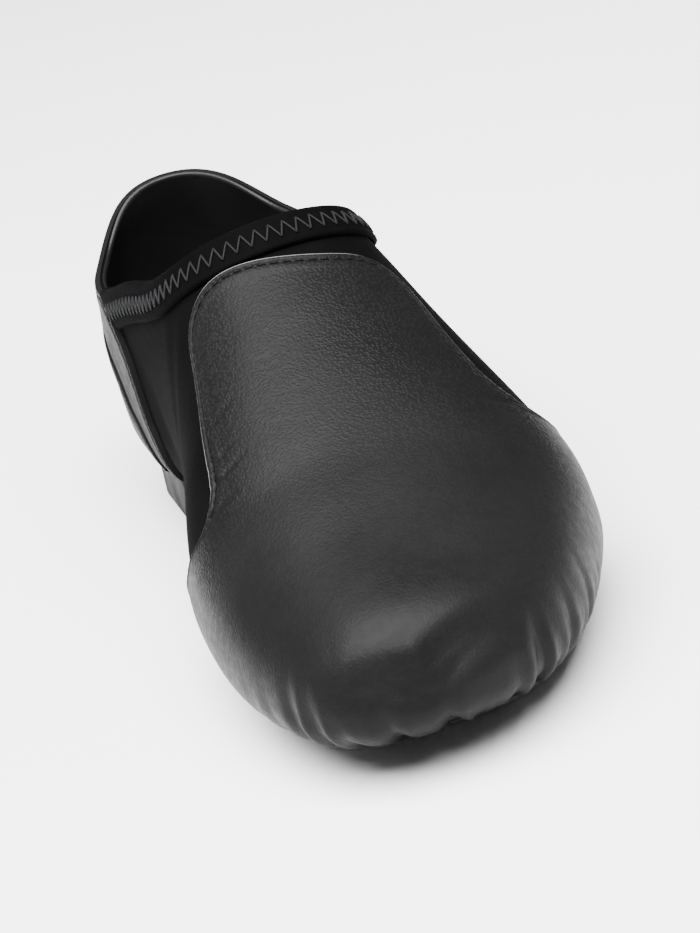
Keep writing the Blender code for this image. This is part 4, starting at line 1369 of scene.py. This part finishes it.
ZIGZAG_HALF = 0.0022
ZIGZAG_POINTS = 6
ZIGZAG_RADIUS = 0.00026
ZIGZAG_RISE = 0.0002
ZIGZAG_CROWN = 0.00018


def make_binding():
    corner = bearing_at(COUNTER_CORNER)
    ends = place(collar_point(np.array([corner, corner - 0.05])))
    turn_per_metre = 0.05 / np.linalg.norm(ends[1] - ends[0])
    rings = []
    for drop, rise in TAPE_SECTION:
        limit = corner - (GAP + BINDING_SLANT * max(drop, 0.0)) * turn_per_metre
        way = collar_point(np.linspace(-limit, limit, TAPE_COLUMNS), drop)
        rings.append(skin(way, np.full(TAPE_COLUMNS, rise)))
    shape = grid_mesh("binding_tape", np.stack(rings), [TAPE_LOOK])
    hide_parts("collar_binding")
    finish(shape)
    middle = BINDING_WIDTH / 2
    limit = corner - BINDING_SLANT * middle * turn_per_metre
    bearings = np.linspace(-limit, limit, ZIGZAG_SAMPLES)
    run = running(place(collar_point(bearings, middle)))
    turns = int(run[-1] / ZIGZAG_PITCH)
    bearing = np.interp(np.linspace(0.0, run[-1], turns), run, bearings)
    drop = middle + ZIGZAG_HALF * (-1.0) ** np.arange(turns)
    share = np.linspace(0, 1, ZIGZAG_POINTS)
    height = LEATHER_TOP + ZIGZAG_RISE + ZIGZAG_CROWN * (1 - np.abs(2 * share - 1) ** 4)
    paths = []
    for k in range(turns - 1):
        course = bearing[k] + (bearing[k + 1] - bearing[k]) * share
        way = collar_point(course, drop[k] + (drop[k + 1] - drop[k]) * share)
        paths.append((*lifted(way, height), np.full(ZIGZAG_POINTS, ZIGZAG_RADIUS)))
    finish(tubes("binding_zigzag", paths, ZIGZAG_LOOK))


PANEL_ROWS = 150
PANEL_SEARCH = (0.55, 0.72)
PANEL_SEARCH_STEPS = 901
PANEL_TUCK = 0.001
PANEL_RIM_COLUMNS = 15
PANEL_MIDDLE_COLUMNS = 50
PANEL_RIM = 0.8
WELT_AWAY = 0.0014
WELT_WIDTH = 0.0009
PANEL_SEAM_AWAY = 0.0034
PANEL_SEAM_DEPTH = 0.00030
PANEL_SEAM_WIDTH = 0.0005
PANEL_WAVE = 0.00022
PANEL_STITCH_SUNK = 0.00018
PANEL_STITCH_END = 0.66
PANEL_STITCH_INSET = 0.004
PANEL_STITCH_SAMPLES = 300


def make_panel():
    rim_columns = np.linspace(PANEL_RIM, 1, PANEL_RIM_COLUMNS)
    middle_columns = np.linspace(-PANEL_RIM, PANEL_RIM, PANEL_MIDDLE_COLUMNS)[1:-1]
    across = np.concatenate([-rim_columns[::-1], middle_columns, rim_columns])
    pad = pad_edge(np.linspace(-math.pi, math.pi, EDGE_SAMPLES), 0.4 * GAP)
    shares = np.linspace(*PANEL_SEARCH, PANEL_SEARCH_STEPS)
    ends = []
    for part in across:
        x = panel_middle(shares) + part * PANEL_WIDTH / 2
        ends.append(shares[int(np.argmax(contains(*pad, x, shares * LAST_LENGTH)))])
    steps = np.linspace(0, 1, PANEL_ROWS)[:, None]
    first = PANEL_START - PANEL_TUCK
    shares = first + (np.array(ends)[None] - first) * steps
    side = across[None] * PANEL_WIDTH / 2
    grid = under(panel_middle(shares) + side, shares * LAST_LENGTH)
    from_edge = PANEL_WIDTH / 2 - np.abs(side)
    welt = WELT_RISE * hump(from_edge, WELT_AWAY, WELT_WIDTH)
    seam = PANEL_SEAM_DEPTH * hump(from_edge, PANEL_SEAM_AWAY, PANEL_SEAM_WIDTH)
    turn = shares * LAST_LENGTH / PANEL_PITCH[1] * 2 * math.pi
    waves = PANEL_WAVE * np.sin(turn) * soft(from_edge, 0.003, 0.008)
    rise = LEATHER_TOP + welt - seam + waves
    grid = np.concatenate([grid[:, :1], grid, grid[:, -1:]], 1)
    rise = np.pad(rise, ((0, 0), (1, 1)))
    shape = grid_mesh("arch_panel_fabric", skin(grid, rise), [PANEL_LOOK])
    flat = np.stack([side + 0 * shares, shares * LAST_LENGTH, 0 * shares], -1)
    flat = np.concatenate([flat[:, :1], flat, flat[:, -1:]], 1)
    spotted(shape, "flat", "FLOAT_VECTOR", "vector", flat)
    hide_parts("arch_panel")
    finish(shape)
    for name, sign in (("medial", -1), ("lateral", 1)):
        start = PANEL_START + PANEL_STITCH_INSET
        shares = np.linspace(start, PANEL_STITCH_END, PANEL_STITCH_SAMPLES)
        x = panel_middle(shares) + sign * (PANEL_WIDTH / 2 - PANEL_SEAM_AWAY)
        keep = ~contains(*pad, x, shares * LAST_LENGTH)
        line = under(x[keep], shares[keep] * LAST_LENGTH)
        height = LEATHER_TOP - PANEL_STITCH_SUNK
        sew("panel_stitches_" + name, line, height, PANEL_STITCH, THREAD_LOOK)


PAD_COLUMNS = 361
PAD_SEAM_DEPTH = 0.00045
PAD_SEAM_WIDTH = 0.0007
PAD_SWELL = 0.00018
PAD_SWELL_WIDTH = 0.0022
# Heights of the pad's last five rows, the first two of them below its face
PAD_ROUND = (0.00022, 0.00060)
PAD_WALL = (0.0020, 0.0010, 0.0001)
PAD_STITCH_SUNK = 0.00030
PAD_FIELD = (0.0085, 0.0105)


def make_pad():
    fine = np.linspace(-math.pi, math.pi, BLOCK_SAMPLES)
    run = running(np.stack(pad_edge(fine), -1))
    x, station = pad_edge(np.interp(np.linspace(0, run[-1], PAD_COLUMNS)[:-1], run, fine))
    reach = np.hypot(x - PAD_X, station - PAD_Y)

    def at_share(share):
        return under(PAD_X + (x - PAD_X) * share, PAD_Y + (station - PAD_Y) * share)

    inner = np.linspace(0.0, 0.72, 40)
    outer = np.linspace(0.73, 0.965, 22)
    shares = np.concatenate([inner, outer, (0.98, 0.992, 1.0, 1.0, 1.0, 1.0)])[:, None]
    from_edge = reach[None] * (1 - shares)
    rise = PAD_DEPTH - PAD_SEAM_DEPTH * hump(from_edge, PAD_SEAM, PAD_SEAM_WIDTH)
    rise += PAD_SWELL * hump(from_edge, PAD_SEAM * 0.55, PAD_SWELL_WIDTH)
    rise[-5:-3] -= np.array(PAD_ROUND)[:, None]
    rise[-3:] = np.array(PAD_WALL)[:, None]
    at = skin(at_share(shares), rise)
    at[..., 2] = np.maximum(at[..., 2], 0.0)
    shape = grid_mesh("sole_pad_suede", at, [SUEDE_LOOK], ring=True, pole=True)
    spotted(shape, "spots", "FLOAT", "value", soft(from_edge, *PAD_FIELD))
    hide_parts("forefoot_sole")
    finish(shape)
    line = at_share(1 - PAD_SEAM / reach)
    line = np.concatenate([line, line[:1]])
    height = PAD_DEPTH - PAD_STITCH_SUNK
    sew("pad_stitches", line, height, PAD_STITCH, ZIGZAG_LOOK)


HEEL_SAMPLES = 5761
HEEL_COLUMNS = 321
HEEL_ROUNDING = 5
HEEL_RINGS = 14
HEEL_WAIST = 0.0006
TREAD_REACH = 0.97
# Rounded lower edge of the heel block
HEEL_EDGE = (
    # share of the chamfer, height
    (0.95, 0.0),
    (0.55, 0.00012),
    (0.25, 0.00035),
    (0.05, 0.0008),
)


def make_heel():
    fine = np.linspace(-math.pi, math.pi, HEEL_SAMPLES)
    run = running(np.stack(block_edge(fine), -1))
    edge = block_edge(np.interp(np.linspace(0, run[-1], HEEL_COLUMNS)[:-1], run, fine))
    window = np.ones(HEEL_ROUNDING) / HEEL_ROUNDING
    x, station = (np.convolve(np.pad(part, 2, mode="wrap"), window, "valid") for part in edge)
    top = place(under(x, station))[..., 2] - 0.4 * GAP
    rings = []
    for share in np.linspace(0, TREAD_REACH, HEEL_RINGS):
        rings.append(block_ring(x, station, share, HEEL_TAPER + HEEL_CHAMFER, 0.0))
    for share, height in HEEL_EDGE:
        rings.append(block_ring(x, station, 1.0, HEEL_TAPER + HEEL_CHAMFER * share, height))
    foot = HEEL_EDGE[-1][1]
    for share in np.linspace(0.10, 1.0, HEEL_RINGS):
        waist = HEEL_WAIST * math.sin(math.pi * share)
        height = foot + (top - foot) * share
        rings.append(block_ring(x, station, 1.0, HEEL_TAPER * (1 - share) + waist, height))
    looks = [RUBBER_LOOK, TREAD_LOOK]
    tread = range(HEEL_RINGS - 1)
    shape = grid_mesh("heel_rubber", np.stack(rings), looks, ring=True, pole=True, second=tread)
    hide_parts("heel_block")
    finish(shape)


INSOLE_MIDDLE = 0.495
INSOLE_REACH = 0.464
INSOLE_END = 0.16
INSOLE_TURN = 44
INSOLE_FULLNESS = 0.62
INSOLE_LIP = 0.0006
INSOLE_LIP_WIDTH = 0.06


def make_insole():
    angle = np.linspace(INSOLE_END, math.pi - INSOLE_END, 120)
    share = INSOLE_MIDDLE - INSOLE_REACH * np.cos(angle)
    half = math.radians(INSOLE_TURN) * np.sin(angle) ** INSOLE_FULLNESS
    across = np.concatenate([(-1.0, -1.0), np.linspace(-1, 1, 41), (1.0, 1.0)])[:, None]
    offset = across * half[None]
    turns = np.where(offset >= 0, math.pi - offset, -math.pi - offset)
    grid = heading(share[None] + 0 * turns, turns)
    depth = np.full(grid.shape[:2], -WALL - GAP - INSOLE_DEPTH)
    depth[2:-2] += INSOLE_LIP * hump(1 - np.abs(across[2:-2]), 0.0, INSOLE_LIP_WIDTH)
    depth[0] = depth[-1] = -WALL - GAP
    shape = grid_mesh("insole_lining", skin(grid, depth), [INSOLE_LOOK], inward=True)
    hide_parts("insole")
    finish(shape)


FLOOR_HALF = 3.0


def make_floor():
    corners = [(-1.0, -1.0, 0.0), (1.0, -1.0, 0.0), (1.0, 1.0, 0.0), (-1.0, 1.0, 0.0)]
    floor = linked("floor", FLOOR_HALF * np.array(corners), [(0, 1, 2, 3)], [FLOOR_LOOK])


# Lamps: name, place, what they point at, width and height in metres, and watts
LAMPS = (
    ("key", (-0.22, -0.34, 1.33), (0.0, -0.08, 0.02), 2.0, 1.4, 190.0),
    ("side", (-1.05, 0.10, 0.75), (0.0, 0.0, 0.03), 0.8, 0.6, 1.2),
)
ROUND_LIGHT = 0.20


def make_lights():
    world = bpy.data.worlds.new("world")
    bpy.context.scene.world = world
    world.use_nodes = True
    ground = world.node_tree.nodes["Background"]
    ground.inputs["Color"].default_value = (1.0, 1.0, 1.0, 1.0)
    ground.inputs["Strength"].default_value = ROUND_LIGHT
    for name, at, aim, width, height, watts in LAMPS:
        data = bpy.data.lights.new(name, "AREA")
        data.shape = "RECTANGLE"
        data.size = width
        data.size_y = height
        data.energy = watts
        lamp = bpy.data.objects.new(name, data)
        lamp.location = at
        lamp.rotation_euler = (Vector(aim) - Vector(at)).to_track_quat("-Z", "Y").to_euler()
        bpy.context.scene.collection.objects.link(lamp)


# The photo's camera, worked out from the shoe's outline: angles in degrees, lengths in metres
VIEW_TURN = -10.39
VIEW_RISE = 21.09
VIEW_ROLL = -15.16
VIEW_DISTANCE = 0.901
VIEW_AIM = (0.0, -0.125, 0.035)
VIEW_LENS = 146.3
VIEW_ACROSS = 0.0090
VIEW_DOWN = 0.0030


def make_camera():
    turn, rise, roll = (math.radians(a) for a in (VIEW_TURN, VIEW_RISE, VIEW_ROLL))
    back = np.array([math.sin(turn) * math.cos(rise), -math.cos(turn) * math.cos(rise), math.sin(rise)])
    level = unit(np.cross(-back, (0.0, 0.0, 1.0)))
    upright = np.cross(level, -back)
    right = level * math.cos(roll) + upright * math.sin(roll)
    upward = upright * math.cos(roll) - level * math.sin(roll)
    aim = np.array(VIEW_AIM) + SHIFT
    eye = aim + back * VIEW_DISTANCE
    aim = aim + right * VIEW_ACROSS - upward * VIEW_DOWN
    back = unit(eye - aim)
    right = unit(np.cross(upward, back))
    upward = np.cross(back, right)
    data = bpy.data.cameras.new("camera")
    data.lens = VIEW_LENS
    data.sensor_width = 36.0
    data.sensor_fit = "AUTO"
    data.clip_start = 0.01
    camera = bpy.data.objects.new("camera", data)
    matrix = np.eye(4)
    matrix[:3, 0] = right
    matrix[:3, 1] = upward
    matrix[:3, 2] = back
    matrix[:3, 3] = eye
    camera.matrix_world = Matrix(matrix.tolist())
    bpy.context.scene.collection.objects.link(camera)
    bpy.context.scene.camera = camera


make_upper()
make_vamp()
make_counter()
make_binding()
make_panel()
make_pad()
make_heel()
make_insole()
make_floor()
make_camera()
make_lights()
